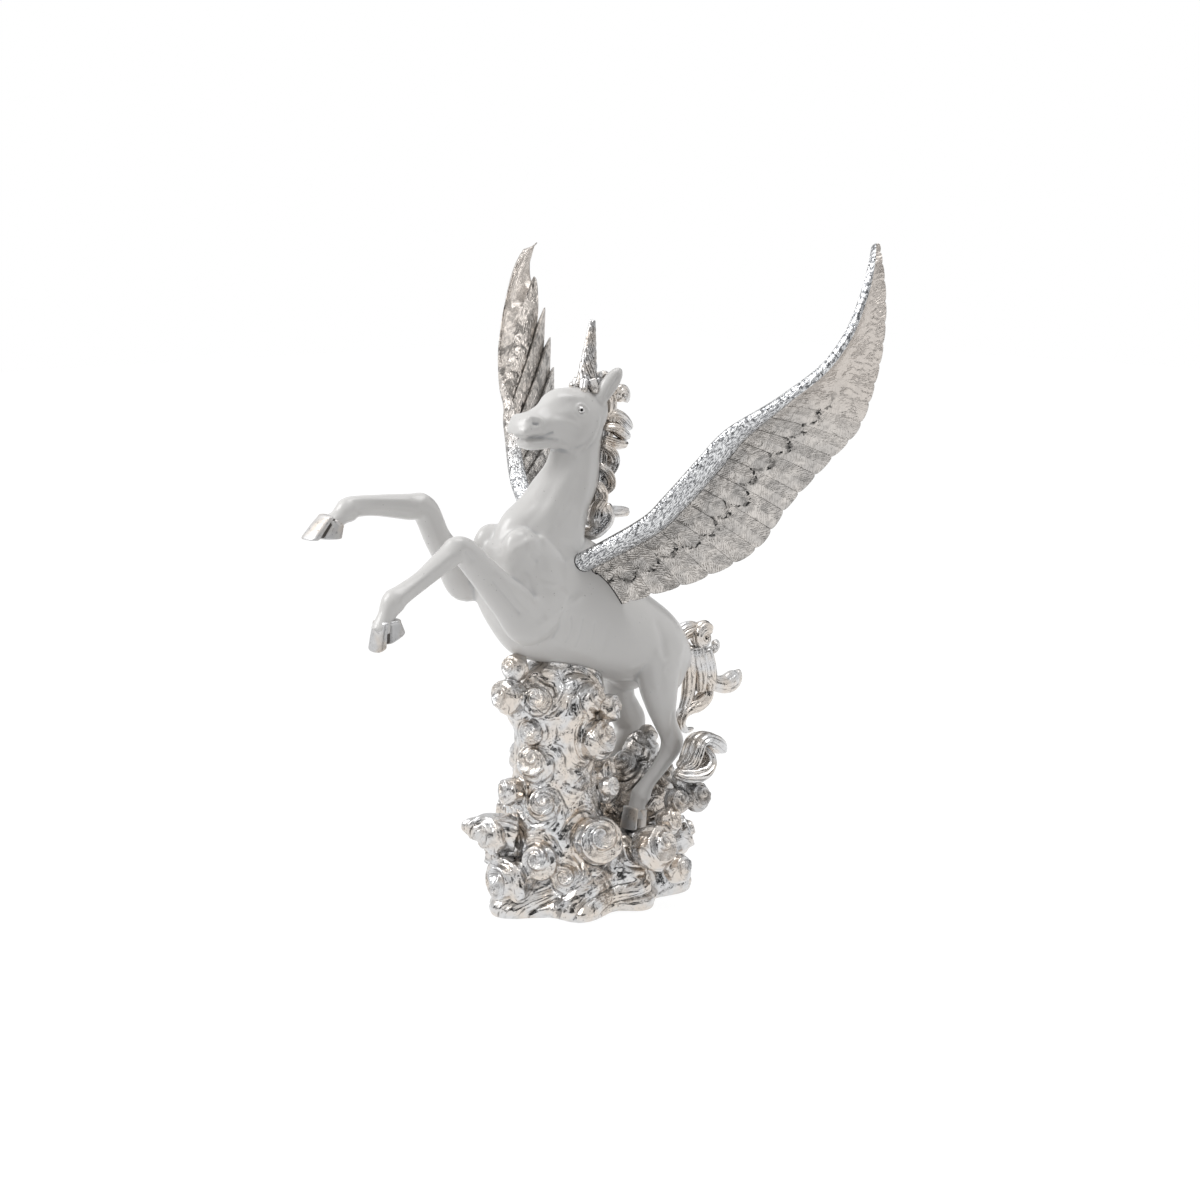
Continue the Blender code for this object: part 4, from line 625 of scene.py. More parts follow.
def horn_shell():
    """Rings up the axis: radius = taper (0.86 + 0.24 |cos(b / 2)|^0.6 + 0.03 sin(60 t + 2 sin(b / 2))).

    Here b is strands times the angle, twisted by its turns along t, and the last three rings round the tip.
    """
    t = np.concatenate([np.linspace(-0.12, 0.985, HORN_ROWS), [0.993, 0.998, 1.0]])[:, None]
    a = angles(96)
    tip = np.array([1.0] * HORN_ROWS + [0.9, 0.7, 0.4])[:, None]
    taper = (HORN_BASE + (HORN_TIP - HORN_BASE) * clamp(t)) * tip
    twisted = a + 2 * math.pi * HORN_TURNS * t
    strand = np.abs(np.cos(HORN_STRANDS * twisted / 2)) ** 0.6
    knots = 0.03 * np.sin(60 * t + 2 * np.sin(HORN_STRANDS * twisted / 2))
    reach = (taper * (0.86 + 0.24 * strand + knots))[..., None]
    line = HORN_FOOT + horn_axis * HORN_LENGTH * t
    lay = np.stack([3 * twisted * HORN_STRANDS / math.pi, 10 * t + 0 * a, 0 * (t + a)], -1)
    grid = line[:, None] + reach * ([1.0, 0, 0] * np.cos(a)[..., None] + horn_deep * np.sin(a)[..., None])
    return tube(grid, lay=lay)


horn = join("spiral_horn", [horn_shell()])
mark_hollows(horn, 5)
dress(horn, plated("horn silver", 0.0, 0.17, None, 0.6, 0.78, 0.12), "plated_resin", "horn")


# Forelock: one plated casting of locks that lie round the foot of the horn and are glued to the brow, with a
# bead in front and a rolled curl behind.
BROW_LOCKS, BROW_HALF_WIDTH, BROW_HALF_DEPTH = 7, 6.4, 7.2


def strand(path, wide, deep, ribs=5, twist=0.0, sides=56, steps=10):
    """Ribbed lock along a spline: an oval whose radius is 0.88 + 0.2 |cos(ribs a / 2 + twist t)|^0.7.

    It closes at both ends by (1 - |2 t - 1|^24)^0.5. Its lay mark is (cos a, sin a) times four and the length
    along it in units of six millimetres.
    """
    rows, a = np.column_stack([np.asarray(path, float), wide, deep]), angles(sides)
    t = np.linspace(0, 1, (len(rows) - 1) * steps + 1)[:, None]
    ribbed = 0.88 + 0.2 * np.abs(np.cos(ribs * a / 2 + twist * t)) ** 0.7
    closing = np.sqrt(np.clip(1 - np.abs(2 * t - 1) ** 24, 0.02, 1))
    grid = limb_rings(rows, steps, sides, ribbed * closing)
    length = np.linalg.norm(np.diff(curve(rows[:, :3], steps), axis=0), axis=1).sum()
    lay = np.stack([4 * np.cos(a) + 0 * t, 4 * np.sin(a) + 0 * t, length / 6 * t + 0 * a], -1)
    return tube(grid, lay=lay)


def lock(path, thick, thin, **more):
    """Lock that is thickest near its root and tapers: thin + (thick - thin) sin(pi (0.25 + 0.75 t))^0.7."""
    t = np.linspace(0.25, 1, len(path))
    size = thin + (thick - thin) * clamp(np.sin(math.pi * t)) ** 0.7
    return strand(path, size, size, **more)


def volute(centre, radius, turns, thick, heading, start, **more):
    """Curl that winds in to a centre, seen along a heading: reach = radius (1 - 0.86 t), angle = turns t.

    It climbs 2.5 mm along the heading, and its thickness halves.
    """
    heading = unit(np.array(heading, float))
    first = unit(np.cross(heading, [0.0, 0.0, 1.0]))
    t = np.linspace(0, 1, int(9 * turns))[:, None]
    angle = math.radians(start) + 2 * math.pi * turns * t
    spoke = first * np.cos(angle) + np.cross(heading, first) * np.sin(angle)
    path = np.array(centre) + radius * (1 - 0.86 * t) * spoke + heading * 2.5 * t
    size = thick * (1 - 0.5 * t[:, 0])
    return strand(path, size, size, steps=4, **more)


def cast_locks(name, shells, rounds, node):
    """One plated casting of locks, with its hollows marked over rounds of smoothing."""
    locks = join(name, shells)
    mark_hollows(locks, rounds)
    dress(locks, hair_silver, "plated_resin", node)


hair_silver = plated("hair silver", 0.05, 0.4, "lay", 0.5)
brow = []
for k in range(BROW_LOCKS):
    angle = 2 * math.pi * k / BROW_LOCKS
    middle = HORN_FOOT + np.array([BROW_HALF_WIDTH * math.cos(angle), BROW_HALF_DEPTH * math.sin(angle), 1.2])
    out = np.array([math.cos(angle), 1.1 * math.sin(angle), 0])
    brow.append(lock([middle - 1.5 * out + [0, 0, 4.5], middle + [0, 0, 1.5],
                      middle + 1.2 * out - [0, 0, 1.5],
                      middle + 1.0 * out - [0, 0, 3.6]], 2.6, 1.6, ribs=4))
brow.append(tube(ball_rings((-1, -12.4, 311), (2.4, 2.5, 2.5), 0, 24, 32), lay=np.zeros((24, 32, 3))))
brow.append(volute((4, 6.4, 314.5), 3.4, 1.2, 2.2, (1, -0.3, 0), 150, ribs=4))
brow.append(lock([(-3, 3, 310), (-4, 8, 313), (-2, 12, 315), (1, 14, 311)], 3.2, 1.6))
cast_locks("forelock_locks", brow, 5, "forelock")


# Mane: one plated casting glued down the crest of the neck. A rolled bun and a lobe of broad ribbons stand
# out behind the poll, and below them folded locks run down to a flick at the withers.
cast_locks("mane_locks", [
    strand([(0, 6, 226), (-2, 7, 238), (-3, 9, 250), (-3, 10.5, 262), (-3, 12, 276), (-2, 14, 290),
            (0, 13, 302), (0, 8, 309)], 8 * [7], 8 * [5.4], ribs=9, twist=2.0),
    volute((0, 23, 303.5), 3.8, 1.1, 4.8, (1, 0, 0), 120, ribs=6),
    strand([(1, 9, 291), (2, 15, 293.5), (2, 22, 291), (1, 29, 286), (0, 33.5, 282.5)],
           [4, 5, 5, 4, 1.6], [2.6, 3, 3, 2.8, 1.6], ribs=9, twist=1.6),
    strand([(3, 7, 286), (5, 14, 285), (5, 22, 280.5), (3, 28.5, 278.5)],
           [4, 5, 4.4, 2], [2.4, 3.2, 3.2, 1.6], ribs=8),
    strand([(1, 8, 279), (3, 15, 276), (3, 22, 274.5), (1, 28, 275)],
           [4, 5, 4.6, 2], [2.6, 3.2, 3.0, 1.4], ribs=8),
    strand([(-6, 10, 290), (-8, 18, 289), (-7, 26, 285), (-4, 32, 280)], [4, 5, 5, 3], [4, 5, 5, 3], ribs=6),
    strand([(3, 6, 276), (5, 12, 271), (5, 14.5, 265), (4, 12, 259), (2, 7, 254)], [4, 4.8, 4.8, 4.4, 2.6],
           [2.2, 2.6, 2.6, 2.6, 1.4], ribs=8, twist=1.2),
    strand([(4, 2, 264), (6, 7, 260), (5.5, 11, 254), (4, 11, 249), (2, 5, 244)], [3.6, 4.4, 4.4, 4.0, 2.4],
           [2.0, 2.6, 2.6, 2.4, 1.4], ribs=8, twist=1.2),
    strand([(4, 0, 254), (6, 3, 249), (5, 5, 243), (4, 1, 237), (4, 0, 230), (3, 6, 223)],
           [3.4, 4, 4, 4, 4, 3], [2.4, 3, 3, 3, 3, 2.4], ribs=7),
    strand([(1, -1, 235), (0, 10, 234), (-1, 22, 233.2), (-1, 32, 232.2)],
           [4, 4, 3.6, 3.0], [3.6, 3.6, 3.4, 2.8], ribs=7),
    volute((-10, 18, 290), 5.0, 1.3, 3.4, (-1, 0.4, 0), 30),
    lock([(-7, 12, 272), (-12, 14, 262), (-13, 10, 250), (-11, 12, 240)], 4.4, 1.6),
    lock([(-6, 10, 252), (-11, 10, 243), (-12, 6, 233), (-9, 9, 225)], 4.0, 1.6),
    lock([(3, 8, 240), (6, 8, 232), (4, 4, 226), (1, 0, 223), (-2, -4, 223)], 4.8, 3.0),
    lock([(-2, 14, 284), (-7, 19, 279), (-9, 20, 271), (-7, 16, 265)], 4.2, 1.6),
], 8, "mane")


# Wings: one plated casting each, glued on a dowel at the shoulder, with the gap's shadow painted as a dark
# line.
# A scaled arm runs along the leading edge, with a double bead below it, two rows of coverts and long feathers.
# The left wing's vane is nearly closed, and the right wing's outer feathers stand apart like fingers, with
# painted shadow in the slots between them.
CLOSED_FEATHERS, CLOSED_COLUMNS, FINGERED_FEATHERS, FINGERED_COLUMNS, WING_ROWS = 24, 16, 14, 26, 120
ARM_THICKNESS, ARM_THINNING, BLADE_THICKNESS, WING_BOW = 12.0, 0.75, 3.0, 3.0
FINGER_STEP, FINGER_TILT, GAP_SHADOW_WIDTH = 17.0, 5.0, 0.75
ROOT_HALF_WIDTH, ROOT_BACK = 36, 26
ARM_WIDTHS = [(0, 13), (0.12, 14.5), (0.38, 16), (0.48, 13.5), (0.57, 8.5), (0.65, 5), (0.85, 3.4), (1, 2.2)]
# How the feathers fan out: a share of the feathers, and the shares of the leading and trailing edges it joins
CLOSED_VANE = [(0, 0, 0), (0.1, 0.1, 0.06), (0.2, 0.2, 0.203), (0.3, 0.3, 0.333), (0.4, 0.4, 0.445),
               (0.5, 0.5, 0.562), (0.6, 0.6, 0.667), (0.7, 0.7, 0.76), (0.8, 0.8, 0.858), (0.9, 0.9, 0.95),
               (1, 1, 1)]
FINGERED_VANE = [(0, 0, 0), (0.3, 0.12, 0.3), (0.5, 0.2, 0.5), (0.64, 0.27, 0.64), (0.72, 0.32, 0.72),
                 (0.79, 0.37, 0.79), (0.86, 0.43, 0.86), (0.93, 0.51, 0.93), (1, 1, 1)]
LEAD = [
    (12, -31, 210), (36, -16.5, 226), (55, -8.5, 239), (66, -4, 251), (82, 5.5, 272), (96, 14.5, 290),
    (118, 31.5, 307), (136, 47, 324), (146, 57, 342), (150, 65, 361), (150, 73, 379), (144, 84, 395),
]
TRAIL = [
    (17, 0, 180), (38, 21, 189), (57, 37.5, 198), (82, 56.5, 216), (98, 67, 243), (117, 79, 269),
    (131, 89.5, 290), (139.5, 94, 321), (144.5, 93, 347), (146, 90, 371), (144.5, 86, 395),
]


def along(line, share):
    """Points at shares of a spline's length, read off the length run so far."""
    line = curve(line, 12)
    run = np.concatenate([[0], np.cumsum(np.linalg.norm(np.diff(line, axis=0), axis=1))])
    return np.stack([np.interp(share, run / run[-1], line[:, k]) for k in range(3)], -1), run[-1] * share


def height_over(points, ground, normals):
    """Signed height over a dense skin: the step from the nearest skin point, along that point's normal."""
    near = ((ground > points.min(0) - 4) & (ground < points.max(0) + 4)).all(1)
    ground, normals = ground[near], normals[near]
    height = []
    for part in np.array_split(points, max(1, len(points) // 400)):
        k = ((part[:, None] - ground[None]) ** 2).sum(-1).argmin(1)
        height.append(((part - ground[k]) * normals[k]).sum(-1))
    return np.concatenate(height)


def wing_shell(side):
    """Closed wing over (q, r): q runs from feather to feather, and r from the leading edge to a tip.

    Middle sheet = lead + heading d + bow sin(pi d / chord) + louvre, with d = r times the feather's end. With
    t across a feather, the end is chord - notch (1 - (1 - |2 t - 1|^2.6)^0.5) - step (1.2 - t), and the last
    feather has 1.1 step (1 - t^2). Each face stands half the arm's or blade's thickness off the sheet, plus
    the relief: a ramp across each feather, a bell along its shaft, an uneven step at each row of coverts and
    two beads below the arm. The louvre turns each finger of the right wing a little out.
    """
    far = float(side < 0)
    feathers, columns = (FINGERED_FEATHERS, FINGERED_COLUMNS) if far else (CLOSED_FEATHERS, CLOSED_COLUMNS)
    t = np.clip(np.linspace(0, 1, columns), 0.006, 0.994)
    q = 0.994 * (np.arange(feathers)[:, None] + t) / feathers
    vane, widths = np.array(FINGERED_VANE) if far else curve(CLOSED_VANE, 16), curve(ARM_WIDTHS, 16)
    u = np.interp(q, vane[:, 0], vane[:, 1])
    lead, span = along(LEAD, u)
    trail, _ = along(TRAIL, np.interp(q, vane[:, 0], vane[:, 2]))
    chord = np.linalg.norm(trail - lead, axis=-1)
    heading = (trail - lead) / chord[..., None]
    outer = clamp((q - 0.42 - 0.16 * far) / 0.3)
    outer = outer**2 * (3 - 2 * outer)
    lobe = np.sqrt(clamp(1 - np.abs(2 * t - 1) ** 2.6))
    notch = np.minimum(2.6 - 1.8 * u + far * 5 * outer, 0.25 * chord)
    step = np.minimum(far * FINGER_STEP * outer, 0.35 * chord)
    saw = np.where(np.arange(feathers)[:, None] < feathers - 1, 1.2 - t, 1.1 - 1.1 * t**2)
    end = chord - notch * (1 - lobe) - step * saw
    chord, u, t, span, outer, end = (np.atleast_2d(field)[..., None] for field in (chord, u, t, span, outer,
                                                                                   end))
    r = np.linspace(0, 1, WING_ROWS) ** 0.96
    d = end * r
    band = np.minimum(np.interp(u, widths[:, 0], widths[:, 1]), 0.5 * chord)
    slight = np.minimum(1, chord / 30)
    blade = BLADE_THICKNESS / 2 * (0.4 + 0.6 * slight) * (1 - 0.6 * clamp((d - band) / (end - band)))
    arm = ARM_THICKNESS / 2 * (1 - ARM_THINNING * u) * np.sqrt(clamp(1 - (2 * d / band - 1) ** 2))
    half = np.sqrt(arm**2 + (blade * np.clip(2 * d / band, 0.15, 1)) ** 2)
    square = unit(np.cross(np.gradient(lead.reshape(-1, 3), axis=0).reshape(lead.shape), heading))[:, :, None]
    louvre = far * FINGER_TILT * outer * (t - 0.5) * clamp(d / chord) ** 1.5
    sheet = lead[:, :, None] + heading[:, :, None] * d[..., None]
    sheet = sheet + square * (WING_BOW * np.sin(math.pi * d / chord) + louvre)[..., None]
    width = np.linalg.norm(sheet[:, -1:] - sheet[:, :1], axis=-1)
    quill = (t - 0.5) * width
    bold = 0.2 * (1 - 0.7 * outer) * np.clip((d / chord - 0.45) / 0.35, 0.15, 1) + 0.8 * far
    long = bold * (1.3 * (t - 0.5) + 0.6 * bell(quill, 0.5) - 0.2 * bell(t * width, 0.6))
    uneven = np.random.default_rng(3).uniform(-0.09, 0.09, (feathers, 1, 1))
    t2, t4 = (2 * t) % 1, (4 * t) % 1
    first_edge = band + (0.17 + 0.05 * np.sin(math.pi * t2)) * (end - band)
    second_edge = band + (0.4 + uneven + 0.12 * np.sin(math.pi * t)) * (end - band)
    first = 0.5 + 0.5 * np.tanh((first_edge - d) / 0.5)
    second = 0.5 + 0.5 * np.tanh((second_edge - d) / 0.9)
    coverts = (second * (0.3 + 0.4 * (t2 - 0.5)) + first * (0.4 + 0.4 * (t4 - 0.5))) * (1 - 0.8 * outer)
    bead = bell(d - band, 0.6) + 0.8 * bell(d - band - 1.9, 0.55)
    relief = slight * (clamp((d - band) / 2) * (long + coverts) + 0.5 * bead * (1 - 0.6 * outer))
    stand = square * (half + relief * clamp(r * 14) * clamp((1 - r) * 18 + 0.25))[..., None]

    def both(upper, lower):
        """A field over the upper face and back along the lower."""
        upper, lower = (np.broadcast_to(field, d.shape + field.shape[3:]) for field in (upper, lower))
        return np.concatenate([upper, lower[:, :, ::-1]], 2).reshape(-1, 2 * WING_ROWS, *upper.shape[3:])

    marks = {
        "span": span, "reach": d, "quill": quill, "outer": outer,
        "arm": clamp((band - d) / 0.8 + 0.5) * (1 - 0.9 * far * outer),
        "edge": bell(d - second_edge, 2.6) + 0.5 * bell(d - first_edge, 1.4),
        "covert": second, "fringe": bell(d - band - 4.5, 3),
        # Painted shadow in the slots between the right wing's fingers.
        "slot": far * clamp(1.6 * outer) * bell(t * width, 1.5) * clamp((d - band) / 6),
        "crumple": far * clamp(3.8 - 4 * u - 1.8 * d / chord),
    }
    return tube(both(sheet + stand, sheet - stand) * [side, 1, 1],
                **{name: both(field, field) for name, field in marks.items()})


wing_silver, here = new_look("wing silver", {"Metallic": 1.0})
arm, outer, edge, covert, fringe, crumple, reach, quill, run = (
    mark(here, name) for name in "arm outer edge covert fringe crumple reach quill span".split())
quill = quill.node("ShaderNodeMath", {"operation": "ABSOLUTE"}, {0: quill})
wander, mottle, fine = here.noise(130, 2), here.noise(330, 3), here.noise(900, 2)
inner = 1.0 - outer
barbs = (reach - quill * 0.9 + wander * 7.0 + mottle * 1.6).wave(1.9)
ripples = ((run + reach * 0.10 + wander * 9.0).wave(4.2) * here.noise(110, 1).rise(0.38, 0.6)
           + (run * 1.3 - reach * 0.3 + wander * 12.0).wave(2.9) * here.noise(140, 1).rise(0.45, 0.62))
cells = run.node("ShaderNodeCombineXYZ", {}, {"X": run / 2.4 + reach * 0.45, "Y": reach / 0.95, "Z": 0.0})
braid = cells.noise(1.0, 3, 0.6)
tufts = (run * 0.8 - reach * 1.1 + wander * 4.0).wave(2.1)
patches = here.noise(75, 3).rise(0.42, 0.6)
silver = outer.rise(0.2, 0.9).tint((0.68, 0.645, 0.61), (0.67, 0.62, 0.575))
silver = (covert * inner * 0.2 + patches * inner * 0.45).tint(silver, (0.34, 0.335, 0.33))
silver = (mottle.rise(0.49, 0.62) * (inner * 0.35 + crumple * 0.45)).tint(silver, (0.2, 0.19, 0.18))
silver = (here.noise(110, 2).rise(0.52, 0.58) * crumple * 0.62).tint(silver, (0.08, 0.075, 0.07))
silver = (barbs.rise(0.3, 1.0) * here.noise(210, 1).rise(0.35,
                                                         0.6) * (inner * 0.42 + 0.03) * (1.0 - arm)).tint(
    silver, (0.20, 0.19, 0.18))
silver = (tufts.rise(0.3, 1.0) * fringe * 0.5).tint(silver, (0.22, 0.20, 0.18))
# Painted shade: the hollows between the arm's scales, where the braid relief is low, are dark.
arm_silver = mottle.rise(0.46, 0.62).tint((0.84, 0.85, 0.86), (0.58, 0.585, 0.60))
silver = arm.tint(silver, braid.rise(0.42, 0.53).tint((0.20, 0.205, 0.215), arm_silver))
# Painted shade: dark blotches along the covert rows' edges, under the tips.
silver = (here.noise(300, 3).rise(0.49, 0.55) * edge.rise(0.05, 0.8) * inner.rise(0.1, 0.4) * 0.75).tint(
    silver, (0.10, 0.095, 0.09))
# Painted shade in the wing's hollows, deeper over the crumpled root.
crease_shade = mark(here, "hollow").rise(0.10, 0.45)
silver = (crease_shade * (crumple * 0.5 + 0.28)).tint(silver, (0.09, 0.08, 0.07))
# Painted shadow: a nearly black line in each slot between the right wing's fingers.
silver = (mark(here, "slot") * 0.95).tint(silver, (0.035, 0.03, 0.025))
# The specks along the covert edges are painted shade as well.
speck = here.noise(420, 3).rise(0.555, 0.6) * edge.rise(0.2, 0.8) * inner.rise(0.2, 0.5)
speck = speck + here.noise(800, 1).rise(0.66, 0.70) * (arm * 0.8 + crumple * 0.7)
silver = speck.rise(0.2, 0.9).tint(silver, (0.025, 0.025, 0.025))
# Painted shadow: where the wing meets the skin, a black matt line stands for the shade of the gap.
gap_shadow = mark(here, "gap_shadow_line")
vanes = barbs * (inner * 0.7 + 0.1) + ripples * (outer * 1.5 + 0.2) + tufts * fringe * 0.9
crumpled = (mottle + here.noise(240, 3) * crumple * 4.0).bump(0.0008, 0.55)
feed(wing_silver, Base_Color=gap_shadow.rise(0.3, 0.8).tint(silver, (0.015, 0.014, 0.014)),
     Roughness=arm * -0.1 + outer * 0.12 + fine * 0.16 + 0.16 + gap_shadow * 0.4,
     Metallic=1.0 - gap_shadow.rise(0.3, 0.8),
     Normal=(braid * arm * 3.0 + vanes * (1.0 - arm) * 0.6 + fine * 0.5).bump(0.00034, 0.85, crumpled))
for side, node in ((1, "wing_left"), (-1, "wing_right")):
    wing = join(node + "_feathered", [wing_shell(side)])
    mark_hollows(wing, 5)
    points, _ = read_points(wing.data)
    # The painted shadow line of the gap: wing points near the root, by their height over the skin.
    root = (np.abs(points[:, 0]) < ROOT_HALF_WIDTH) & (points[:, 1] < ROOT_BACK)
    gap_shadow_line = np.zeros((len(points), 1))
    gap_shadow_line[root, 0] = bell(height_over(points[root], skin, skin_normals) ** 2, GAP_SHADOW_WIDTH**2)
    write_mark(wing.data, "gap_shadow_line", gap_shadow_line)
    dress(wing, wing_silver, "plated_resin", node)


# Tail: one plated casting glued on the croup. A curl rolls over its head, and grooved locks fall from it.
# One flicks up behind as a leaf and the lowest hooks back below the croup.
cast_locks("tail_locks", [
    volute((2, 94, 146), 6.0, 1.2, 5.6, (1, 0, 0), 200, ribs=8),
    volute((3, 104, 139.5), 3.0, 1.0, 2.8, (1, 0, 0), 60),
    lock([(0, 68, 143), (-1, 78, 149.5), (-1, 87, 151.5), (0, 95, 150)], 5.4, 3.6, ribs=7),
    lock([(2, 90, 141), (3, 91, 132), (4, 92.5, 122), (4, 92, 110)], 4.8, 3.0),
    lock([(3, 96, 139), (4, 98, 130), (5, 99.5, 121), (5, 100, 110)], 4.8, 3.4),
    lock([(0, 84, 142), (0, 85, 132), (0, 86, 121), (0, 84, 108), (-1, 80, 98)], 4.8, 2.6, ribs=6),
    strand([(2, 99, 114), (2, 98.5, 107), (1, 93, 102.5), (0, 86, 101), (0, 80, 98), (0, 78, 92), (0, 82, 87),
            (0, 90, 86.5)], [4.5, 5.5, 5.5, 5, 4.5, 3.8, 3, 1.4], [4, 4.6, 4.8, 4.4, 3.6, 3, 2.2, 1.2]),
    strand([(4, 95, 122), (5, 101, 116), (6, 109, 113.5), (6, 117, 114), (6, 122.5, 116.5), (6, 126, 120.5)],
           [4, 5, 5.4, 5, 3.6, 1.2], [3, 4.4, 5.6, 6.6, 5.4, 1.2], twist=0.8),
    lock([(-4, 84, 142), (-7, 92, 130), (-8, 94, 114), (-6, 88, 104)], 4.8, 1.6, ribs=6),
], 8, "tail")


# Clouds: three plated castings stacked on a dowel, a spread base, a pillar that cradles the belly and a bank
# behind. Curls of cloud roll up out of them, and folds stream from curl to curl and down to a wavy hem.
CLOUD_VOXEL = 0.8
BASE_WIDTH, BASE_LENGTH, LOBES, LOBE_DEPTH, LOBE_TURN = 47.5, 69.0, 8, 0.1, math.radians(-1)
FOLD_ARMS, FOLD_WIND, FOLD_HEIGHT, FOLD_SPREAD = 4, 2.0, 2.2, 2.2
HEM_FOLDS, HEM_HEIGHT, HEM_SPREAD = 16, 16.0, 3.5
PARTING_HEIGHT, PARTING_DEPTH, BELLY_HEIGHT = 58.0, 7.0, 100.0
# Curls: the middle of each and its radius
BOSSES = np.array([
    (40, -31, 48, 14.5), (52, 4, 38, 14), (15, -53, 34, 11.5), (-10, -67, 47, 12), (-4, -60, 74, 8.5),
    (8, -50, 92, 12), (8, -54, 111, 7.5), (29, -21, 104, 12), (13, -54, 131, 9), (1, -65, 133, 10.5),
    (23, -21, 129, 9.5), (3, -62, 150, 8), (27, -10, 122, 8.5), (47, 45, 60, 9), (44, 31, 60, 8),
    (47, 21, 50, 8.5),
    (38, -20, 78, 6.5), (-1, -62, 20, 16), (59, 17, 24, 9), (14, 0, 66, 8), (26, -44, 24, 9),
    (-38, -26, 48, 14), (-46, 8, 42, 14), (-36, 42, 44, 13), (0, 60, 42, 13), (26, 50, 30, 12),
    (-20, -34, 88, 11), (-24, -18, 104, 13), (-20, -36, 130, 12), (-18, -4, 124, 11), (-22, -6, 80, 11),
    (4, -6, 94, 10), (18, -6, 80, 9), (14, -50, 68, 10), (-22, 46, 66, 11), (10, 50, 66, 11),
    (-28, 20, 66, 11), (-30, -46, 26, 12), (-50, 30, 22, 11), (0, 48, 89, 7), (1, 38, 82, 8.5),
    (2, 28, 76, 8), (40, 40, 70, 7),
], float)
boss_hands = np.where(np.arange(len(BOSSES)) % 2, 1, -1)
axis_y = np.where(BOSSES[:, 2] > PARTING_HEIGHT, np.where(BOSSES[:, 1] < PARTING_DEPTH, -30.0, 36.0), 0.0)
boss_faces = unit(np.stack([BOSSES[:, 0], 0.7 * (BOSSES[:, 1] - axis_y), 0.25 * np.abs(BOSSES[:, 0]) + 3],
                           -1))
boss_sides = unit(np.cross(boss_faces, [0, 0, 1.0]))
boss_downs = np.cross(boss_faces, boss_sides)


def rim(height, share):
    """Level ring of the wavy hem: an ellipse times 1 + depth cos(lobes (angle - turn)), scaled by a share."""
    a = angles(288)[0]
    out = share / np.hypot(np.cos(a) / BASE_WIDTH, np.sin(a) / BASE_LENGTH)
    out = out * (1 + LOBE_DEPTH * np.cos(LOBES * (a - LOBE_TURN)))
    return np.stack([out * np.cos(a), out * np.sin(a), height + 0 * a], -1)


def boss_shell(boss, face, sideways, down, hand):
    """Curl facing out: rings of radius s whose middles slip up by 0.3 (1 - s), so that the petals widen below.

    Height = 0.72 sqrt(1 - s^2) + 0.26 petal. The petal is a saw of 2.2 s + hand a / (2 pi), a spiral, that
    climbs outwards and drops back; past the rim the ball closes in under the surface.
    """
    s, a = np.concatenate([np.linspace(0.02, 0.995, 44), [1.0, 0.9, 0.6]])[:, None], angles(96)
    saw = (2.2 * s + hand * a / (2 * math.pi)) % 1
    petal = np.where(saw < 0.8, (saw / 0.8) ** 1.6, (1 - saw) / 0.2) * clamp(5 * s)
    level = 0.72 * np.sqrt(clamp(1 - s**2)) + 0.26 * petal
    level[-2:] = [[-0.5], [-0.75]]
    flat = sideways * (s * np.cos(a))[..., None] + down * (s * np.sin(a) - 0.3 * clamp(1 - s))[..., None]
    return tube(boss[:3] + boss[3] * (flat + level[..., None] * face))


def wobble(points, length, seed):
    """Smooth noise from -1 to 1: the mean of six sines along random directions, about a length each."""
    rng = np.random.default_rng(seed)
    waves = rng.normal(size=(3, 6)) / length * 2.2
    return np.sin(points @ waves + rng.uniform(0, 6.3, 6)).mean(1) * 1.6


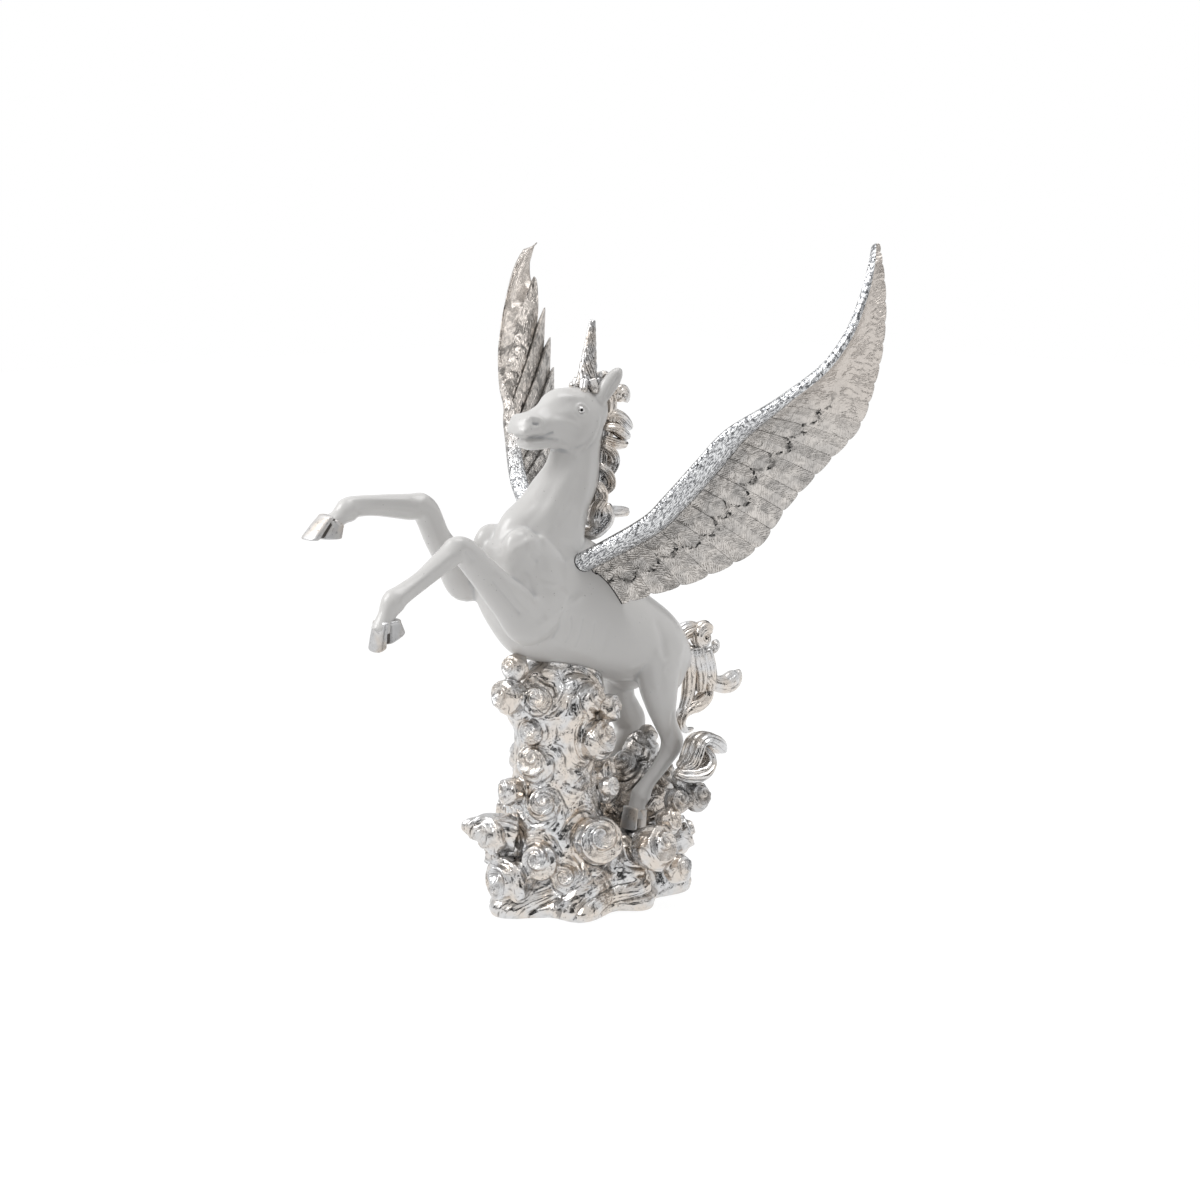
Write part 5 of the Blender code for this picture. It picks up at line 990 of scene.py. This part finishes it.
def cloud(name, shells, look, node):
    """Fuse shells, then carve folds outside the curls.

    A point rises by fold height (|sin(phase / 2)|^0.7 - 0.62), a little uneven. Round a curl the phase is
    arms times the angle plus winds times the log of the distance, a spiral that streams away. At the hem it
    slants up and round. A point mixes its neighbours' phases as cosine and sine, by nearness, and these are
    also the mark that the fine streaks follow. Finer folds and noise come on top. Where the pillar meets
    the belly the folds fade, and a rim rises.
    """
    thing = fuse(name, shells, CLOUD_VOXEL, 2)
    points, normals = read_points(thing.data)
    z = points[:, 2]
    bent = points + np.stack([3.0 * wobble(points, 17, seed) for seed in (11, 12, 13)], 1)
    phase = (HEM_FOLDS * np.arctan2(points[:, 1] / BASE_LENGTH, points[:, 0] / BASE_WIDTH)
             - 2 * math.pi * z / HEM_HEIGHT + 2.8 * wobble(points, 30, 21))
    share = np.exp((HEM_HEIGHT - z) / HEM_SPREAD)
    total, turn, gap = share + 1e-9, share * np.exp(1j * phase), np.full(len(points), 1e3)
    for boss, sideways, down, hand in zip(BOSSES, boss_sides, boss_downs, boss_hands):
        step = bent - boss[:3]
        x, y = step @ sideways, step @ down
        gap = np.minimum(gap, np.linalg.norm(points - boss[:3], axis=1) - boss[3])
        winds = FOLD_WIND * np.log(np.hypot(x, y) / boss[3] + 0.05)
        phase = hand * FOLD_ARMS * np.arctan2(y, x) + 2 * math.pi * winds
        share = np.exp((boss[3] - np.linalg.norm(step, axis=1)) / FOLD_SPREAD)
        total, turn = total + share, turn + share * np.exp(1j * phase)
    turn = turn / total
    c = turn.real
    folded = clamp((1 - c) / 2) ** 0.35 - 0.62
    fine = clamp((1 - 4 * c**3 + 3 * c) / 2) ** 0.5 - 0.6
    outside = clamp((gap - 0.2) / 2.0) * clamp((z - 1.6) / 3)
    rough = (0.35 * wobble(points, 5.5, 5) + 0.12 * wobble(points, 2.3, 8)) * clamp((z - 3) / 14)
    rise = outside * ((FOLD_HEIGHT + 0.8 * wobble(points, 30, 4)) * folded + 0.35 * fine) + rough
    high = z > BELLY_HEIGHT
    if high.any():
        over = height_over(points[high], skin, skin_normals)
        rise[high] = rise[high] * clamp(over / 3) + bell(over - 0.7, 0.9)
    write_points(thing.data, points + normals * rise[:, None])
    lay = [turn.real * 0.9 + points[:, 0] * 0.09, turn.imag * 0.9 + points[:, 1] * 0.09, z * 0.09]
    write_mark(thing.data, "lay", np.stack(lay, 1))
    mark_hollows(thing, 10)
    dress(thing, look, "plated_resin", node)


# The base up its height: heights and shares of the wavy rim
foot = [(2.3, 0.955), (0.5, 0.962), (0.4, 0.99), (1.6, 1.005), (6, 1.02), (13, 0.97), (21, 0.9), (30, 0.82),
        (37, 0.71), (42, 0.52), (44, 0.3)]
pillar = limb_rings([
    (0, -26, 30, 34, 32), (0, -30, 60, 28, 27), (2, -31, 88, 24, 23), (2, -30, 104, 25, 24),
    (0, -28, 120, 28, 31), (0, -30, 131, 25, 32), (0, -33, 141, 16, 28), (0, -37, 151, 8, 18),
], 8, 120)
lobe = limb_rings([(-2, -58, 48, 9, 11), (-9, -66, 50, 8.5, 10.5), (-16, -73, 51, 7, 8.5),
                   (-22, -78, 52, 4, 5.2),
                   (-25, -80.5, 52.5, 1.5, 2)], 8, 48)
bosses = [boss_shell(*given) for given in zip(BOSSES, boss_faces, boss_sides, boss_downs, boss_hands)]
low = BOSSES[:, 2] < PARTING_HEIGHT
fore = ~low & (BOSSES[:, 1] < PARTING_DEPTH)


def chosen(mask):
    """The bosses that a mask keeps."""
    return [shell for shell, kept in zip(bosses, mask) if kept]


cloud_silver = plated("cloud silver", 0.10, 0.65, "lay", 0.7)
# The bank behind lies in the shade between the legs: its silver is a darker copy, darkened from shallower
# hollows, as painted shade.
shaded_bank_silver = plated("bank silver", -0.15, 0.5, "lay", 1.0, 0.8)
spread_base = [tube(np.array([rim(*ring) for ring in foot])), tube(lobe)]
bank = [tube(ball_rings((-5, 42, 56), (30, 26, 22), 0, 48, 96)),
        tube(ball_rings((-1, 44, 74), (11, 13, 20), 0, 48, 80))]
cloud("cloud_base_carved", spread_base + chosen(low), cloud_silver, "cloud_base")
cloud("cloud_pillar_carved", [tube(pillar)] + chosen(fore), cloud_silver, "cloud_pillar")
cloud("cloud_rear_carved", bank + chosen(~low & ~fore), shaded_bank_silver, "cloud_rear")


# Plume: one plated casting, a curl of cloud that is glued in a socket in the bank behind the near hind leg. A
# bowl and a hooked stem rise from it.
cast_locks("cloud_plume_curl", [
    strand([(38, 34, 76), (43, 38, 75), (45, 44, 75), (46, 50, 76.5), (46, 55, 80), (45, 56, 85),
            (44, 53, 90)],
           [6, 8, 9, 8.6, 7, 5, 1.6], [3, 4.6, 5.4, 5, 4, 3, 1.4], ribs=7, sides=96),
    strand([(40, 36, 78), (43, 42, 82), (44, 44.5, 88), (44, 47, 93.5), (44, 53, 95.5), (45, 60, 92.5),
            (46, 65.5, 88), (47, 70.5, 84)],
           [6, 7.5, 8, 8, 8, 7.6, 6, 1.6], [3, 4, 4, 3.6, 3.8, 4.6, 4.4, 1.2], ribs=7, sides=96),
    strand([(36, 46, 76), (37, 49, 84), (37, 50, 92)], [5, 6, 4], [5, 5, 3]),
], 8, "cloud_plume")


# Felt: a black pad, cut from sheet and glued under the base, so that the casting doesn't scratch a shelf. Its
# edge is drawn in behind the base's lip.
felt, here = new_look("black felt", {"Sheen Weight": 0.25})
feed(felt, Base_Color=here.noise(2500, 3).tint((0.02, 0.02, 0.023), (0.07, 0.07, 0.075)),
     Roughness=here.noise(900, 2) * 0.1 + 0.88,
     Normal=(here.noise(5200, 2) + here.noise(1500, 2)).bump(0.0003, 0.8))
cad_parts["felt_pad"].material_slots[0].material = felt


# Dowels: plain drawn steel rod, cut to length and glued into drilled holes, hidden in the castings. The horn
# has a thinner pin.
steel, here = new_look("drawn steel", {"Metallic": 1.0})
feed(steel, Base_Color=here.noise(500, 3).tint((0.42, 0.43, 0.45), (0.60, 0.61, 0.63)),
     Roughness=here.noise(1400, 2) * 0.2 + 0.25, Normal=here.noise(2600, 2).bump(0.0001, 0.3))
for name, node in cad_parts.items():
    if "dowel" in name or "pin" in name:
        node.material_slots[0].material = steel


# Floor and light: a plain white table in a white room, under two large soft lamps. Dark cards behind the
# viewer and at the sides, seen only as reflections, give the silver its contrast. Sizes are in metres.
TABLE_WIDTH, TABLE_GLOW, GLOW_SHARE, CARD_DISTANCE = 8.0, 1.12, 0.85, 2.4
ROOM_LIGHT, ROOM_SEEN, MIRRORED_LOSS = 0.42, 0.58, 0.15
# Degrees round and up, width and height of each card
CARDS = ((47, 10, 2.6, 1.3), (118, 12, 0.9, 2.0), (-22, 4, 0.7, 1.2), (200, 16, 1.2, 1.0))


def panel(name, wide, high, look):
    """Flat rectangle of a width and height."""
    mesh = bpy.data.meshes.new(name)
    corners = [(wide * x, high * y, 0) for x, y in ((-0.5, -0.5), (0.5, -0.5), (0.5, 0.5), (-0.5, 0.5))]
    mesh.from_pydata(corners, [], [(0, 1, 2, 3)])
    mesh.materials.append(look)
    return add(name, mesh)


def seen_directly(here):
    """One for rays from the camera and for those reflected or let through, none for scattered light."""
    rays = [here.node("ShaderNodeLightPath", {}, {}, name)
            for name in ("Is Camera Ray", "Is Glossy Ray", "Is Transmission Ray")]
    return (rays[0] + rays[1] + rays[2]).rise(0.0, 1.0)


def lamp(name, turn, tilt, distance, size, power):
    """Square soft lamp aimed at the figurine from a direction in degrees round and up."""
    light = add(name, bpy.data.lights.new(name, "AREA"))
    light.data.size, light.data.energy = size, power
    set_round(light, turn, tilt, distance)


table_white, here = new_look("white table", {"Roughness": 0.9, "Base Color": (0.86, 0.86, 0.86, 1)})
tree = table_white.node_tree
matt = Value(tree, tree.nodes["Principled BSDF"].outputs["BSDF"])
glow = here.node("ShaderNodeEmission", {}, {"Color": (1, 1, 1, 1), "Strength": TABLE_GLOW})
mixed = here.node("ShaderNodeMixShader", {}, {0: seen_directly(here) * GLOW_SHARE, 1: matt, 2: glow})
tree.links.new(mixed.socket, tree.nodes["Material Output"].inputs["Surface"])
panel("floor", TABLE_WIDTH, TABLE_WIDTH, table_white)

dark_card, _ = new_look("dark card", {"Base Color": (0.05, 0.05, 0.052, 1), "Roughness": 1.0})
for turn, tilt, wide, high in CARDS:
    card = panel("card", wide, high, dark_card)
    set_round(card, turn, tilt, CARD_DISTANCE)
    card.visible_camera = card.visible_diffuse = card.visible_shadow = card.visible_transmission = False

world = bpy.data.worlds.new("studio")
bpy.context.scene.world = world
world.use_nodes = True
backdrop = world.node_tree.nodes["Background"]
backdrop.inputs["Color"].default_value = (1, 1, 1, 1)
here = Value(world.node_tree, None)
strength = seen_directly(here) * ROOM_SEEN + ROOM_LIGHT
strength = strength - here.node("ShaderNodeLightPath", {}, {}, "Is Glossy Ray") * MIRRORED_LOSS
world.node_tree.links.new(strength.socket, backdrop.inputs["Strength"])
lamp("key", -30, 40, 1.6, 0.9, 14)
lamp("top", 150, 72, 1.5, 0.9, 7)
